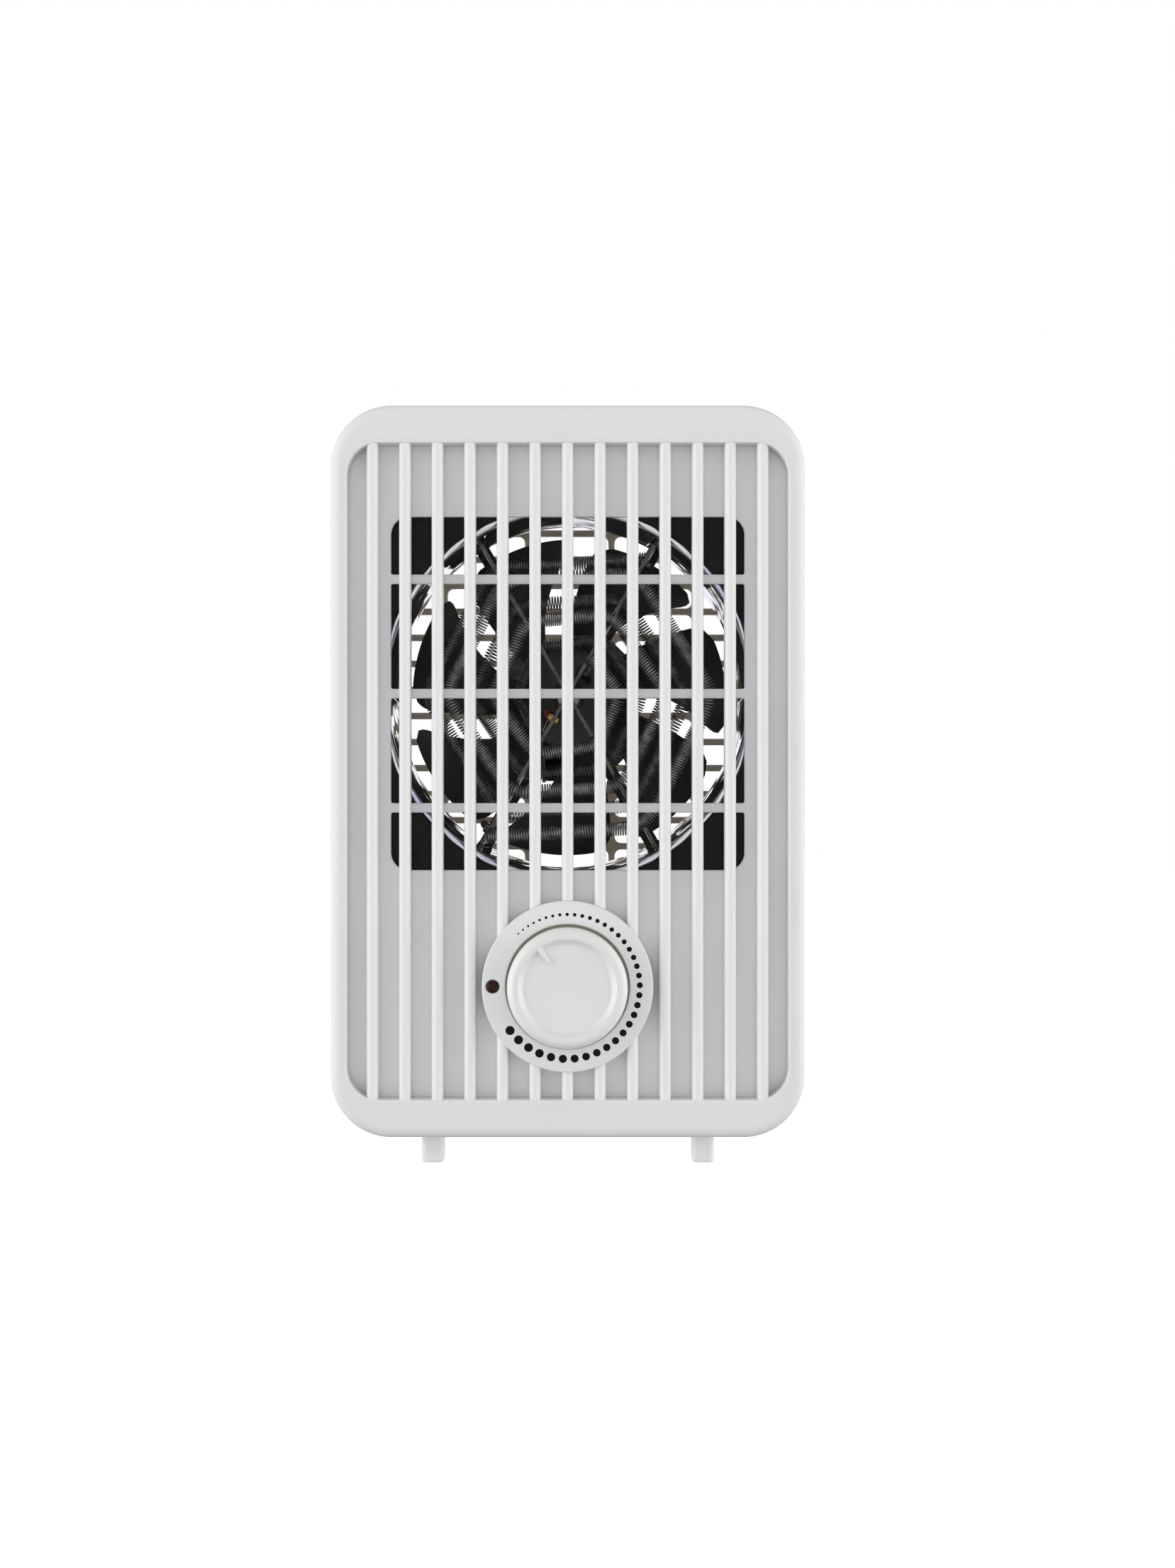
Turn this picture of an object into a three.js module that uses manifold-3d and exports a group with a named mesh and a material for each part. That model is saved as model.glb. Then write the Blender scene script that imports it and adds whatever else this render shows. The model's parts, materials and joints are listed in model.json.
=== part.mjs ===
// A compact fan heater. A white moulded casing holds a slatted front, a double spiral of open
// nichrome coil on three crossed mica boards inside a polished steel sleeve, a seven-bladed fan
// on a shaded-pole motor, and a thermostat with a round dial below them.
// Millimetres, +Z up. The front faces -Y. The origin is on the floor, under the middle.

import * as THREE from "three";
import { mergeVertices } from "three/addons/utils/BufferGeometryUtils.js";
import Module from "manifold-3d";

const wasm = await Module();
wasm.setup();

// ---- Driving dimensions ----

const gap = 0.3; // clearance between neighbouring pieces
const wall = 2.2; // moulded wall thickness
const past = 1; // how far a cutting shape runs past the face that it cuts
const pilot = 1.5; // radius of the hole that a self-tapping screw bites into

const bodyWidth = 162;
const bodyHeight = 250;
const bodyDepth = 116;
const bodyCorner = 21; // radius of the casing's four long edges
const edgeRound = 3; // rounding where the front or back meets the sides
const footHeight = 10;
const knobStand = 10.8; // how far the knob stands in front of the casing

const openingWidth = 150.6; // the slatted opening in the front
const openingHeight = 224;
const openingCorner = 10.9;
const lipWidth = 1.7; // the grille's own rim around that opening
const grilleDepth = 7.7;

const slatCount = 13;
const slatPitch = 11.11;
const slatWidth = 3.9;

const windowSize = 121.4; // the square window of the panel behind the slats
const windowCorner = 6;
const barPitch = 39.3;
const barThickness = 3.3;

const dialRadius = 29.2;
const wellRadius = 21.25; // the hole in the dial plate that the knob sits in
const knobRadius = 20.5;
const pointerAngle = THREE.MathUtils.degToRad(125);
const lampRing = 25.5; // distance from the dial's centre to the indicator lamp
const lampRadius = 2.1;
const bushRadius = 4.4; // threaded bush of the thermostat
const spindleRadius = 3;

const mouthRadius = 63.9; // inside radius of the polished sleeve at its flared front edge
const flareRadius = 62; // where the flare runs into the sleeve's slightly conical wall
const throatRadius = 60.4; // at the sleeve's back edge
const sleeveWall = 0.8;
const shroudRadius = 64.8; // inside radius of the fan's shroud
const ringSides = 40; // facets of the sleeve and of what fits round it
const boardThickness = 1.2;
const coilRadius = 2.5; // outer radius of the wound wire
const coilOuter = 56.5; // distance from the axis to where a coil starts
const coilPitch = 16.5; // how far a coil moves inwards in one turn, measured at a board
const coilTurns = 2.5;

const bladeCount = 7;
const bladeTip = 57;
const hubRadius = 18;
const bladeThickness = 1.6;
const bladeTwist = 20; // how far a blade climbs along the axis per radian across it
const bladeSweep = 0.37; // how far its middle turns back from hub to tip, in radians
const bladePhase = THREE.MathUtils.degToRad(130);

const shaftRadius = 1.6;
const rotorRadius = 12;

// ---- Places ----

const frontY = knobStand - (bodyDepth + knobStand) / 2;
const middleZ = footHeight + bodyHeight / 2;
const fanZ = middleZ + 26.8;
const dialZ = middleZ - 73.3;

// Depths behind the casing's front face.
const partingDepth = 50;
const panelDepth = 8.3;
const panelThickness = 2;
const baffleDepth = panelDepth + panelThickness + gap;
const sleeveDepth = 11;
const flareDepth = 14;
const sleeveEnd = 44.5;
const boardDepth = 18;
const boardHeight = 26;
const coilInset = 1.5; // how far a coil's centre lies inside a board's edge
const hubDepth = 49;
const hubLength = 19;
const shroudDepth = 41;
const spiderDepth = 75.3;
const spiderThickness = 3;
const coreDepth = 84;
const coreLength = 16;
const postEnd = 80;
const screwSeat = 104;

const postX = 62;
const postZ = 119;
const panelScrewX = 30;
const panelScrewZ = 118.5;
const baffleHalf = 68;
const baffleScrew = 63;
const footX = 46.7;
const footWidth = 7.6;
const footLength = 14;
const footDepths = [19, 99];
const studRadius = 2;
const postRadius = 3.3;
const motorScrewX = 19.5;
const glandX = 45;
const glandZ = 34;
const glandRadius = 6;

const depth = (behindFront) => frontY + behindFront;

// ---- Materials ----

const material = (color, roughness, metalness) =>
  new THREE.MeshStandardMaterial({ color, roughness, metalness });

const whitePlastic = material(0xe2e4e3, 0.45, 0);
const knobPlastic = material(0xe6e7e6, 0.35, 0);
const blackPlastic = material(0x1c1c1e, 0.55, 0);
const lensPlastic = material(0x2a1712, 0.2, 0);
const polishedSteel = material(0xd0d2d8, 0.12, 1);
const zincSteel = material(0xa8aaac, 0.35, 1);
const nichrome = material(0x4b4943, 0.45, 0.8);
const mica = material(0x6d665c, 0.7, 0);
const coreSteel = material(0x62646a, 0.5, 0.8);
const copper = material(0xb4652f, 0.35, 0.9);
const brass = material(0xb8923f, 0.35, 0.9);
const ceramic = material(0xe8e2d4, 0.5, 0);
const nylon = material(0xd9d3c3, 0.55, 0);
const redSleeve = material(0x8e2a22, 0.6, 0);
const blueSleeve = material(0x28497c, 0.6, 0);

// ---- Solids ----

function toSolid(geometry) {
  const bare = geometry.clone();
  bare.deleteAttribute("normal");
  bare.deleteAttribute("uv");
  const merged = mergeVertices(bare, 1e-4);
  const triVerts = new Uint32Array(merged.index.array);
  const vertProperties = merged.attributes.position.array;
  return new wasm.Manifold(new wasm.Mesh({ numProp: 3, vertProperties, triVerts }));
}

function fromSolid(solid) {
  const { vertProperties, triVerts } = solid.getMesh();
  const geometry = new THREE.BufferGeometry();
  geometry.setAttribute("position", new THREE.BufferAttribute(vertProperties, 3));
  geometry.setIndex(new THREE.BufferAttribute(triVerts, 1));
  geometry.computeVertexNormals();
  return geometry;
}

const join = (first, ...others) =>
  fromSolid(others.reduce((whole, other) => whole.add(toSolid(other)), toSolid(first)));

const cut = (body, ...tools) =>
  fromSolid(tools.reduce((left, tool) => left.subtract(toSolid(tool)), toSolid(body)));

// A rectangle with rounded corners, centred on the origin.
function roundedRect(width, height, corner) {
  const x = width / 2 - corner;
  const y = height / 2 - corner;
  const quarter = Math.PI / 2;
  const shape = new THREE.Shape();
  shape.absarc(x, y, corner, 0, quarter);
  shape.absarc(-x, y, corner, quarter, 2 * quarter);
  shape.absarc(-x, -y, corner, 2 * quarter, 3 * quarter);
  shape.absarc(x, -y, corner, 3 * quarter, 4 * quarter);
  return shape;
}

// A flat piece whose outline is drawn as seen from the front, from one depth to another.
function slab(shape, from, to) {
  const settings = { depth: to - from, bevelEnabled: false, curveSegments: 3 };
  return new THREE.ExtrudeGeometry(shape, settings)
    .rotateX(Math.PI / 2)
    .translate(0, depth(to), 0);
}

// A box given by its middle in X and Z, its size in X and Z, and its two depths.
const block = (x, z, width, height, from, to) =>
  new THREE.BoxGeometry(width, to - from, height).translate(x, depth((from + to) / 2), z);

// A round bar along Y.
const rod = (x, z, radius, from, to, sides = 8) =>
  new THREE.CylinderGeometry(radius, radius, to - from, sides)
    .translate(x, depth((from + to) / 2), z);

// A round bar along Z.
const upright = (x, behindFront, radius, low, high, sides = 8) =>
  new THREE.CylinderGeometry(radius, radius, high - low, sides)
    .rotateX(Math.PI / 2)
    .translate(x, depth(behindFront), (low + high) / 2);

// A bar through the fan's axis, square to it and turned about it.
const crossBar = (length, thickness, from, to, angle) =>
  new THREE.BoxGeometry(length, to - from, thickness)
    .rotateY(-angle)
    .translate(0, depth((from + to) / 2), fanZ);

// A piece turned about an axis along Y. The profile is a list of [radius, depth] pairs that
// either starts and ends on the axis or, for a ring, closes on its first point.
function turned(x, z, profile, sides, ring = false) {
  const points = profile.map(([radius, behindFront]) =>
    new THREE.Vector2(radius, depth(behindFront)));
  if (THREE.ShapeUtils.isClockWise(points)) points.reverse();
  if (ring) points.push(points[0].clone());
  return new THREE.LatheGeometry(points, sides).translate(x, 0, z);
}

// A plain ring about the fan's axis.
const fanRing = (inner, outer, from, to, sides) =>
  turned(0, fanZ, [[inner, from], [outer, from], [outer, to], [inner, to]], sides, true);

// A skin through rounded rectangles of [depth, width, height, corner]. It either closes on its
// first section, as a frame does, or is capped on its first and last, as a block is.
function loft(sections, closed) {
  const outlines = sections.map(([, width, height, corner]) =>
    roundedRect(width, height, corner).getPoints(3));
  const count = outlines[0].length;
  const positions = [];
  outlines.forEach((outline, i) =>
    outline.forEach((p) => positions.push(p.x, depth(sections[i][0]), middleZ + p.y)));
  const index = [];
  const spans = closed ? outlines.length : outlines.length - 1;
  for (let i = 0; i < spans; i += 1) {
    const near = i * count;
    const far = ((i + 1) % outlines.length) * count;
    for (let j = 0; j < count; j += 1) {
      const k = (j + 1) % count;
      index.push(near + j, far + k, near + k, near + j, far + j, far + k);
    }
  }
  if (!closed) {
    const end = (outlines.length - 1) * count;
    const cap = (outline) => THREE.ShapeUtils.triangulateShape(outline, []);
    cap(outlines[0]).forEach(([a, b, c]) => index.push(a, b, c));
    cap(outlines.at(-1)).forEach(([a, b, c]) => index.push(end + a, end + c, end + b));
  }
  const geometry = new THREE.BufferGeometry();
  geometry.setAttribute("position", new THREE.Float32BufferAttribute(positions, 3));
  geometry.setIndex(index);
  return geometry;
}

// A round bar or lead that follows a curve, with flat ends.
function swept(curve, radius, steps, sides) {
  const section = new THREE.Shape();
  section.absarc(0, 0, radius, 0, 2 * Math.PI);
  const settings = { steps, bevelEnabled: false, curveSegments: sides / 2, extrudePath: curve };
  return new THREE.ExtrudeGeometry(section, settings);
}

const corners = [[-1, -1], [1, -1], [-1, 1], [1, 1]];
const bothSides = [-1, 1];

// The same piece at the four casing posts, and at the four corners of the baffle.
const atPosts = (make) => corners.map(([x, z]) => make(x * postX, middleZ + z * postZ));
const atPanelScrews = (make) =>
  corners.map(([x, z]) => make(x * panelScrewX, middleZ + z * panelScrewZ));
const atBaffleScrews = (make) =>
  corners.map(([x, z]) => make(x * baffleScrew, fanZ + z * baffleScrew));
const atMotorScrews = (make) => bothSides.map((side) => make(side * motorScrewX, fanZ));

const heater = new THREE.Group();

function piece(name, geometry, finish) {
  const mesh = new THREE.Mesh(geometry, finish);
  mesh.name = name;
  heater.add(mesh);
}

// ---- Casing ----

const inset = (behindFront, by) =>
  [behindFront, bodyWidth - 2 * by, bodyHeight - 2 * by, bodyCorner - by];

// The rounded edge between a face and the sides, as sections from the face to the sides.
function roundedEdge(faceDepth, towards) {
  const steps = 3;
  return Array.from({ length: steps + 1 }, (_, i) => {
    const angle = (i / steps) * (Math.PI / 2);
    return inset(
      faceDepth + towards * edgeRound * (1 - Math.sin(angle)),
      edgeRound * (1 - Math.cos(angle)),
    );
  }).reverse();
}

const footHoles = (behindFront) => bothSides.map((side) =>
  upright(side * footX, behindFront, studRadius + gap, footHeight - past, footHeight + wall + past));

function frontShell() {
  const border = 2 * (lipWidth + gap);
  const opening = [openingWidth + border, openingHeight + border, openingCorner + lipWidth + gap];
  const shortPostRadius = 3;
  const boreDepth = 20;
  const skin = loft([
    [0, ...opening],
    ...roundedEdge(0, 1),
    inset(partingDepth, 0),
    inset(partingDepth, wall),
    inset(wall, wall),
    [wall, ...opening],
  ], true);
  const posts = atPosts((x, z) => rod(x, z, postRadius, wall - past, postEnd));
  const bores = atPosts((x, z) => rod(x, z, pilot, postEnd - boreDepth, postEnd + past));
  const shortPosts = atPanelScrews((x, z) =>
    rod(x, z, shortPostRadius, wall - past, panelDepth - gap));
  const shortBores = atPanelScrews((x, z) => rod(x, z, pilot, wall + past, panelDepth));
  return cut(join(skin, ...posts, ...shortPosts), ...bores, ...shortBores,
    ...footHoles(footDepths[0]));
}

piece("front_shell", frontShell(), whitePlastic);

// The air intake: rows of slots in five columns, set out from the fan's axis. The outer columns
// have fewer rows, so that the whole field is roughly round.
function intakeSlots() {
  const rowPitch = 10;
  const slotHeight = 7.5;
  const columns = [
    { x: 0, width: 29.6, rowsEachSide: 7 },
    { x: 32, width: 29.6, rowsEachSide: 6 },
    { x: 56.4, width: 14, rowsEachSide: 4 },
  ];
  const slots = [];
  columns.forEach(({ x, width, rowsEachSide }) => {
    for (let row = -rowsEachSide; row <= rowsEachSide; row += 1) {
      new Set([-x, x]).forEach((middle) => slots.push(block(
        middle, fanZ + row * rowPitch, width, slotHeight, bodyDepth - wall - past,
        bodyDepth + past)));
    }
  });
  return slots;
}

function rearShell() {
  const tongueLength = 4;
  const tongueOuter = wall + gap;
  const tongueInner = tongueOuter + 1.2;
  const seam = partingDepth + gap;
  const bossRadius = 5.2;
  const headRoom = 3.8;
  const screwRoom = 1.7;
  const postRoom = postRadius + gap;
  const skin = loft([
    inset(bodyDepth - wall, wall),
    inset(seam + 3, wall),
    inset(seam + 1.5, tongueInner),
    inset(seam - tongueLength, tongueInner),
    inset(seam - tongueLength, tongueOuter),
    inset(seam, tongueOuter),
    inset(seam, 0),
    ...roundedEdge(bodyDepth, -1).reverse(),
  ], false);
  const bosses = atPosts((x, z) =>
    rod(x, z, bossRadius, postEnd + gap, bodyDepth - past, 12));
  const screwHoles = atPosts((x, z) => rod(x, z, screwRoom, postEnd - past, bodyDepth + past));
  const counterbores = atPosts((x, z) => rod(x, z, headRoom, screwSeat, bodyDepth + past, 12));
  const postRooms = atPosts((x, z) =>
    rod(x, z, postRoom, seam - tongueLength - past, postEnd + gap));
  const glandHole = rod(glandX, glandZ, glandRadius + gap, bodyDepth - 2 * wall,
    bodyDepth + past, 16);
  return cut(join(cut(skin, ...postRooms), ...bosses), ...screwHoles, ...counterbores,
    ...footHoles(footDepths[1]), glandHole, ...intakeSlots());
}

piece("rear_shell", rearShell(), whitePlastic);

const footNames = ["foot_front_left", "foot_front_right", "foot_rear_left", "foot_rear_right"];
footNames.forEach((name, i) => {
  const x = bothSides[i % 2] * footX;
  const behindFront = footDepths[Math.floor(i / 2)];
  const chamfer = 0.8;
  const settings = {
    depth: footHeight - gap - 2 * chamfer,
    bevelThickness: chamfer,
    bevelSize: chamfer,
    bevelOffset: -chamfer,
    bevelSegments: 1,
    curveSegments: 1,
  };
  const pad = new THREE.ExtrudeGeometry(roundedRect(footWidth, footLength, 2 * chamfer), settings)
    .translate(x, depth(behindFront), chamfer);
  const stud = upright(x, behindFront, studRadius, footHeight / 2, footHeight + 2 * wall);
  piece(name, join(pad, stud), whitePlastic);
});

// ---- Front: grille, panel and dial ----

function frontGrille() {
  const front = gap;
  const back = front + grilleDepth;
  const flangeFront = wall + gap;
  const flangeThickness = 1.5;
  const flangeBorder = 6.4;
  const flangeCorner = 14;
  const hole = roundedRect(openingWidth, openingHeight, openingCorner);
  const rimShape = roundedRect(openingWidth + 2 * lipWidth, openingHeight + 2 * lipWidth,
    openingCorner + lipWidth);
  rimShape.holes.push(hole);
  const flangeShape = roundedRect(bodyWidth - 2 * (wall + gap), openingHeight + flangeBorder,
    flangeCorner);
  flangeShape.holes.push(hole);
  const rim = slab(rimShape, front, back);
  const flange = slab(flangeShape, flangeFront, flangeFront + flangeThickness);
  const slats = Array.from({ length: slatCount }, (_, i) => {
    const x = (i - (slatCount - 1) / 2) * slatPitch;
    return block(x, 0, slatWidth, openingHeight + lipWidth, front, back);
  });
  const dialHole = rod(0, dialZ - middleZ, dialRadius + 1.5 * gap, -past, panelDepth, 36);
  return cut(join(rim, flange, ...slats), dialHole).translate(0, 0, middleZ);
}

piece("front_grille", frontGrille(), whitePlastic);

function frontPanel() {
  const from = panelDepth;
  const to = panelDepth + panelThickness;
  const outline = roundedRect(bodyWidth - 2 * (wall + gap), bodyHeight - 7, 18);
  const sheet = slab(outline, from, to).translate(0, 0, middleZ);
  const window = slab(roundedRect(windowSize, windowSize, windowCorner), from - past, to + past)
    .translate(0, 0, fanZ);
  const bars = [-1, 0, 1].map((i) =>
    block(0, fanZ + i * barPitch, windowSize + 2 * past, barThickness, from, to));
  const hole = (radius) => (x, z) => rod(x, z, radius, from - past, to + past);
  const blindHoles = atBaffleScrews((x, z) => rod(x, z, pilot, to - 1.3, to + past));
  const bushHole = rod(0, dialZ, bushRadius + gap, from - past, to + past, 16);
  return cut(join(cut(sheet, window), ...bars), ...atPosts(hole(postRadius + gap)),
    ...atPanelScrews(hole(pilot)), ...blindHoles, bushHole,
    hole(lampRadius + 0.5)(-lampRing, dialZ));
}

piece("front_panel", frontPanel(), whitePlastic);

function dialPlate() {
  const face = -0.8;
  const inside = face + 2.2;
  const skirtEnd = panelDepth - gap;
  const softEdge = 0.3;
  const shoulder = 0.6;
  const collar = wellRadius + 1.25;
  const skirt = dialRadius - 1.5;
  const ring = turned(0, dialZ, [
    [wellRadius, face + softEdge],
    [wellRadius + softEdge, face],
    [dialRadius - shoulder, face],
    [dialRadius, face + shoulder],
    [dialRadius, skirtEnd],
    [skirt, skirtEnd],
    [skirt, inside],
    [collar, inside],
    [collar, skirtEnd],
    [wellRadius, skirtEnd],
  ], 36, true);
  return cut(ring, rod(-lampRing, dialZ, lampRadius + gap, face - past, inside + past));
}

piece("dial_plate", dialPlate(), whitePlastic);

piece("indicator_lens", turned(-lampRing, dialZ, [
  [0, -1.3],
  [0.6 * lampRadius, -1.1],
  [lampRadius, -0.6],
  [lampRadius, 2],
  [0, 2],
], 12), lensPlastic);

const neonRadius = 1.9;
piece("neon_lamp", turned(-lampRing, dialZ, [
  [0, 2 + gap],
  [0.6 * neonRadius, 2.9],
  [neonRadius, 4.4],
  [neonRadius, 16],
  [0, 16],
], 10), ceramic);

// ---- Thermostat and knob ----

const spindleFront = 4.9 - knobStand;
const spindleEnd = 20;

function knob() {
  const front = -knobStand;
  const back = 4.5;
  const dish = front + 1.3;
  const inside = dish + 2;
  const socketEnd = spindleFront - gap;
  const rimRadius = 17.2;
  const floorRadius = 13.6;
  const boss = 6;
  const bore = spindleRadius + gap;
  const turnedBody = turned(0, dialZ, [
    [0, dish],
    [floorRadius, dish],
    [rimRadius, front + 0.2],
    [rimRadius + 0.8, front],
    [knobRadius - 1.2, front + 0.4],
    [knobRadius - 0.4, front + 1.2],
    [knobRadius - 0.1, front + 2.4],
    [knobRadius, back],
    [knobRadius - 1.8, back],
    [knobRadius - 2.2, inside],
    [boss, inside],
    [boss, back],
    [bore, back],
    [bore, socketEnd],
    [0, socketEnd],
  ], 32);
  const pointerLength = 7.5;
  const pointerWidth = 2;
  const pointerMiddle = 14.1;
  const pointerHeight = dish - front + 0.8;
  const pointer = new THREE.BoxGeometry(pointerLength, pointerHeight, pointerWidth)
    .translate(pointerMiddle, depth(front + pointerHeight / 2), 0)
    .rotateY(-pointerAngle)
    .translate(0, 0, dialZ);
  return join(turnedBody, pointer);
}

piece("thermostat_knob", knob(), knobPlastic);

piece("thermostat_spindle",
  rod(0, dialZ, spindleRadius, spindleFront, spindleEnd, 16), brass);

function thermostatBody() {
  const front = 13;
  const back = 34;
  const terminalEnd = 41;
  const housing = block(0, dialZ, 30, 26, front, back);
  const bush = rod(0, dialZ, bushRadius, 5.5, front + past, 16);
  const spindleRoom = rod(0, dialZ, spindleRadius + gap, 4, spindleEnd + gap, 16);
  const terminals = bothSides.map((side) =>
    block(side * terminalX, dialZ, 1, 6, back - past, terminalEnd));
  return cut(join(housing, bush, ...terminals), spindleRoom);
}

const terminalX = 9;
piece("thermostat_body", thermostatBody(), ceramic);

function hexNut(acrossFlats, bore, from, to) {
  const radius = acrossFlats / Math.sqrt(3);
  return cut(rod(0, dialZ, radius, from, to, 6), rod(0, dialZ, bore, from - past, to + past, 16));
}

piece("thermostat_nut", hexNut(13, bushRadius + gap, 5.8, panelDepth - gap), zincSteel);

// ---- Heating element ----

const collarWall = 1.8;

function fanBaffle() {
  const plateEnd = baffleDepth + 2;
  const collarInner = mouthRadius + sleeveWall + gap;
  const collarEnd = baffleDepth + 10;
  const plate = slab(roundedRect(2 * baffleHalf, 2 * baffleHalf, 5), baffleDepth, plateEnd)
    .translate(0, 0, fanZ);
  const collar = rod(0, fanZ, collarInner + collarWall, baffleDepth + past, collarEnd, ringSides);
  const hole = rod(0, fanZ, collarInner, baffleDepth - past, collarEnd + past, ringSides);
  const screwHoles = atBaffleScrews((x, z) =>
    rod(x, z, pilot, baffleDepth - past, plateEnd + past));
  return cut(join(plate, collar), hole, ...screwHoles);
}

piece("fan_baffle", fanBaffle(), blackPlastic);

const boardAngles = [0, 60, 120].map(THREE.MathUtils.degToRad);
const tabHeight = 10;
const tabMiddle = boardDepth + boardHeight / 2;
const tabFrom = tabMiddle - tabHeight / 2;
const tabTo = tabMiddle + tabHeight / 2;
const tabReach = mouthRadius + gap;

function heaterSleeve() {
  const inner = [
    [mouthRadius, sleeveDepth],
    [flareRadius + 0.35 * (mouthRadius - flareRadius), sleeveDepth + past],
    [flareRadius, flareDepth],
    [throatRadius, sleeveEnd],
  ];
  const outer = inner.map(([radius, behindFront]) => [radius + sleeveWall, behindFront]);
  const tube = turned(0, fanZ, [...inner, ...outer.reverse()], ringSides, true);
  const slots = boardAngles.map((angle) => crossBar(
    2 * (tabReach + past), boardThickness + 2 * gap, tabFrom - gap, tabTo + gap, angle));
  return cut(tube, ...slots);
}

piece("heater_sleeve", heaterSleeve(), polishedSteel);

// A coil's route: straight from board to board, moving inwards as it goes round.
function coilRoute(startAngle, behindFront) {
  const corner = (k) => {
    const angle = startAngle + (k * Math.PI) / 3;
    const radius = coilOuter - (coilPitch * k) / 6;
    return new THREE.Vector3(
      radius * Math.cos(angle), depth(behindFront), fanZ + radius * Math.sin(angle));
  };
  const points = [corner(0)];
  const bend = 0.1; // share of each straight that is given to the bend at a board
  for (let k = 1; k < 6 * coilTurns; k += 1) {
    points.push(corner(k).lerp(corner(k - 1), bend), corner(k).lerp(corner(k + 1), bend));
  }
  points.push(corner(6 * coilTurns));
  return new THREE.CatmullRomCurve3(points, false, "catmullrom", 0.01);
}

const coilRoutes = {
  front_coil: coilRoute(THREE.MathUtils.degToRad(240), boardDepth + coilInset),
  rear_coil: coilRoute(THREE.MathUtils.degToRad(60), boardDepth + boardHeight - coilInset),
};
const coilSteps = 3 * 6 * coilTurns;

Object.entries(coilRoutes).forEach(([name, route]) =>
  piece(name, swept(route, coilRadius, coilSteps, 6), nichrome));

// Each board keeps a third of its height where the three cross, so that they slot together.
const coilRoom = Object.values(coilRoutes).map((route) =>
  swept(route, coilRadius + 2 * gap, coilSteps, 6));

boardAngles.forEach((angle, i) => {
  const boardEnd = boardDepth + boardHeight;
  const third = boardHeight / 3;
  const keptFrom = boardDepth + i * third + gap / 2;
  const keptTo = boardDepth + (i + 1) * third - gap / 2;
  const crossing = 4;
  const board = crossBar(2 * (throatRadius - 2 * gap), boardThickness, boardDepth, boardEnd, angle);
  const tabs = crossBar(2 * tabReach, boardThickness, tabFrom, tabTo, angle);
  const notch = (from, to) => crossBar(crossing, 3 * boardThickness, from, to, angle);
  const notches = [];
  if (i > 0) notches.push(notch(boardDepth - past, keptFrom));
  if (i < 2) notches.push(notch(keptTo, boardEnd + past));
  piece(`mica_board_${i + 1}`, cut(join(board, tabs), ...notches, ...coilRoom), mica);
});

// The over-temperature cut-out hangs on a bracket under the sleeve, beside its one-shot fuse.
const cutoutX = -8;
const cutoutDepth = 31;
const sleeveBottom = fanZ - flareRadius - sleeveWall;
const bracketLow = sleeveBottom - 1.9;

piece("cutout_bracket",
  block(cutoutX, bracketLow + 0.6, 30, 1.2, cutoutDepth - 7, cutoutDepth + 7), zincSteel);

function thermalCutout() {
  const top = bracketLow - gap;
  const cup = upright(cutoutX, cutoutDepth, 8, top - 7, top, 20);
  const cap = upright(cutoutX, cutoutDepth, 5.5, top - 10, top - 6, 16);
  const tabs = bothSides.map((side) =>
    new THREE.BoxGeometry(7, 4, 0.8).translate(cutoutX + side * 8, depth(cutoutDepth), top - 8.5));
  return join(cup, cap, ...tabs);
}

piece("thermal_cutout", thermalCutout(), ceramic);

const fuseX = 24;
const fuseZ = sleeveBottom - 8;
piece("thermal_fuse", new THREE.CylinderGeometry(2, 2, 14, 10)
  .rotateZ(Math.PI / 2)
  .translate(fuseX, depth(cutoutDepth), fuseZ), ceramic);

// ---- Fan ----

// One blade, drawn flat from hub to tip and then twisted about the axis. Its edges are given as
// angles about the axis. It grows wider outwards, sweeps back and has clipped corners at its tip.
function blade(angle) {
  const root = hubRadius - 1.2;
  const rootHalf = 0.25;
  const tipHalf = 0.39;
  const tipClip = 0.09;
  const steps = 5;
  const turnedBack = (radius) => (bladeSweep * (radius - root)) / (bladeTip - root);
  const edge = (t, side) => {
    const radius = root + t * (bladeTip - root);
    const half = rootHalf + t * (tipHalf - rootHalf) - (t === 1 ? tipClip : 0);
    const at = side * half - turnedBack(radius);
    return new THREE.Vector2(radius * Math.cos(at), radius * Math.sin(at));
  };
  const outline = [];
  for (let i = 0; i <= steps; i += 1) outline.push(edge(i / steps, -1));
  outline.push(edge(1, 0));
  for (let i = steps; i >= 0; i -= 1) outline.push(edge(i / steps, 1));
  const middle = hubDepth + hubLength / 2;
  const flat = slab(new THREE.Shape(outline), middle - bladeThickness / 2,
    middle + bladeThickness / 2);
  const position = flat.attributes.position;
  for (let i = 0; i < position.count; i += 1) {
    const [x, z] = [position.getX(i), position.getZ(i)];
    const across = Math.atan2(z, x) + turnedBack(Math.hypot(x, z));
    position.setY(i, position.getY(i) + bladeTwist * across);
  }
  return flat.rotateY(-angle).translate(0, 0, fanZ);
}

function fanImpeller() {
  const back = hubDepth + hubLength;
  const floor = hubDepth + 2.5;
  const innerBoss = 6;
  const bore = shaftRadius + gap;
  const hub = turned(0, fanZ, [
    [bore, hubDepth],
    [hubRadius - 2, hubDepth],
    [hubRadius, hubDepth + 2],
    [hubRadius, back],
    [hubRadius - 2, back],
    [hubRadius - 2, floor],
    [innerBoss, floor],
    [innerBoss, back],
    [bore, back],
  ], 36, true);
  const blades = Array.from({ length: bladeCount }, (_, i) =>
    blade(bladePhase + (2 * Math.PI * i) / bladeCount));
  return join(hub, ...blades);
}

piece("fan_impeller", fanImpeller(), blackPlastic);

piece("shaft_clip", turned(0, fanZ, [
  [shaftRadius + gap, hubDepth - 2],
  [4, hubDepth - 1.2],
  [4, hubDepth - gap],
  [shaftRadius + gap, hubDepth - gap],
], 12, true), zincSteel);

// ---- Motor ----

const coreEnd = coreDepth + coreLength;

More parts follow.
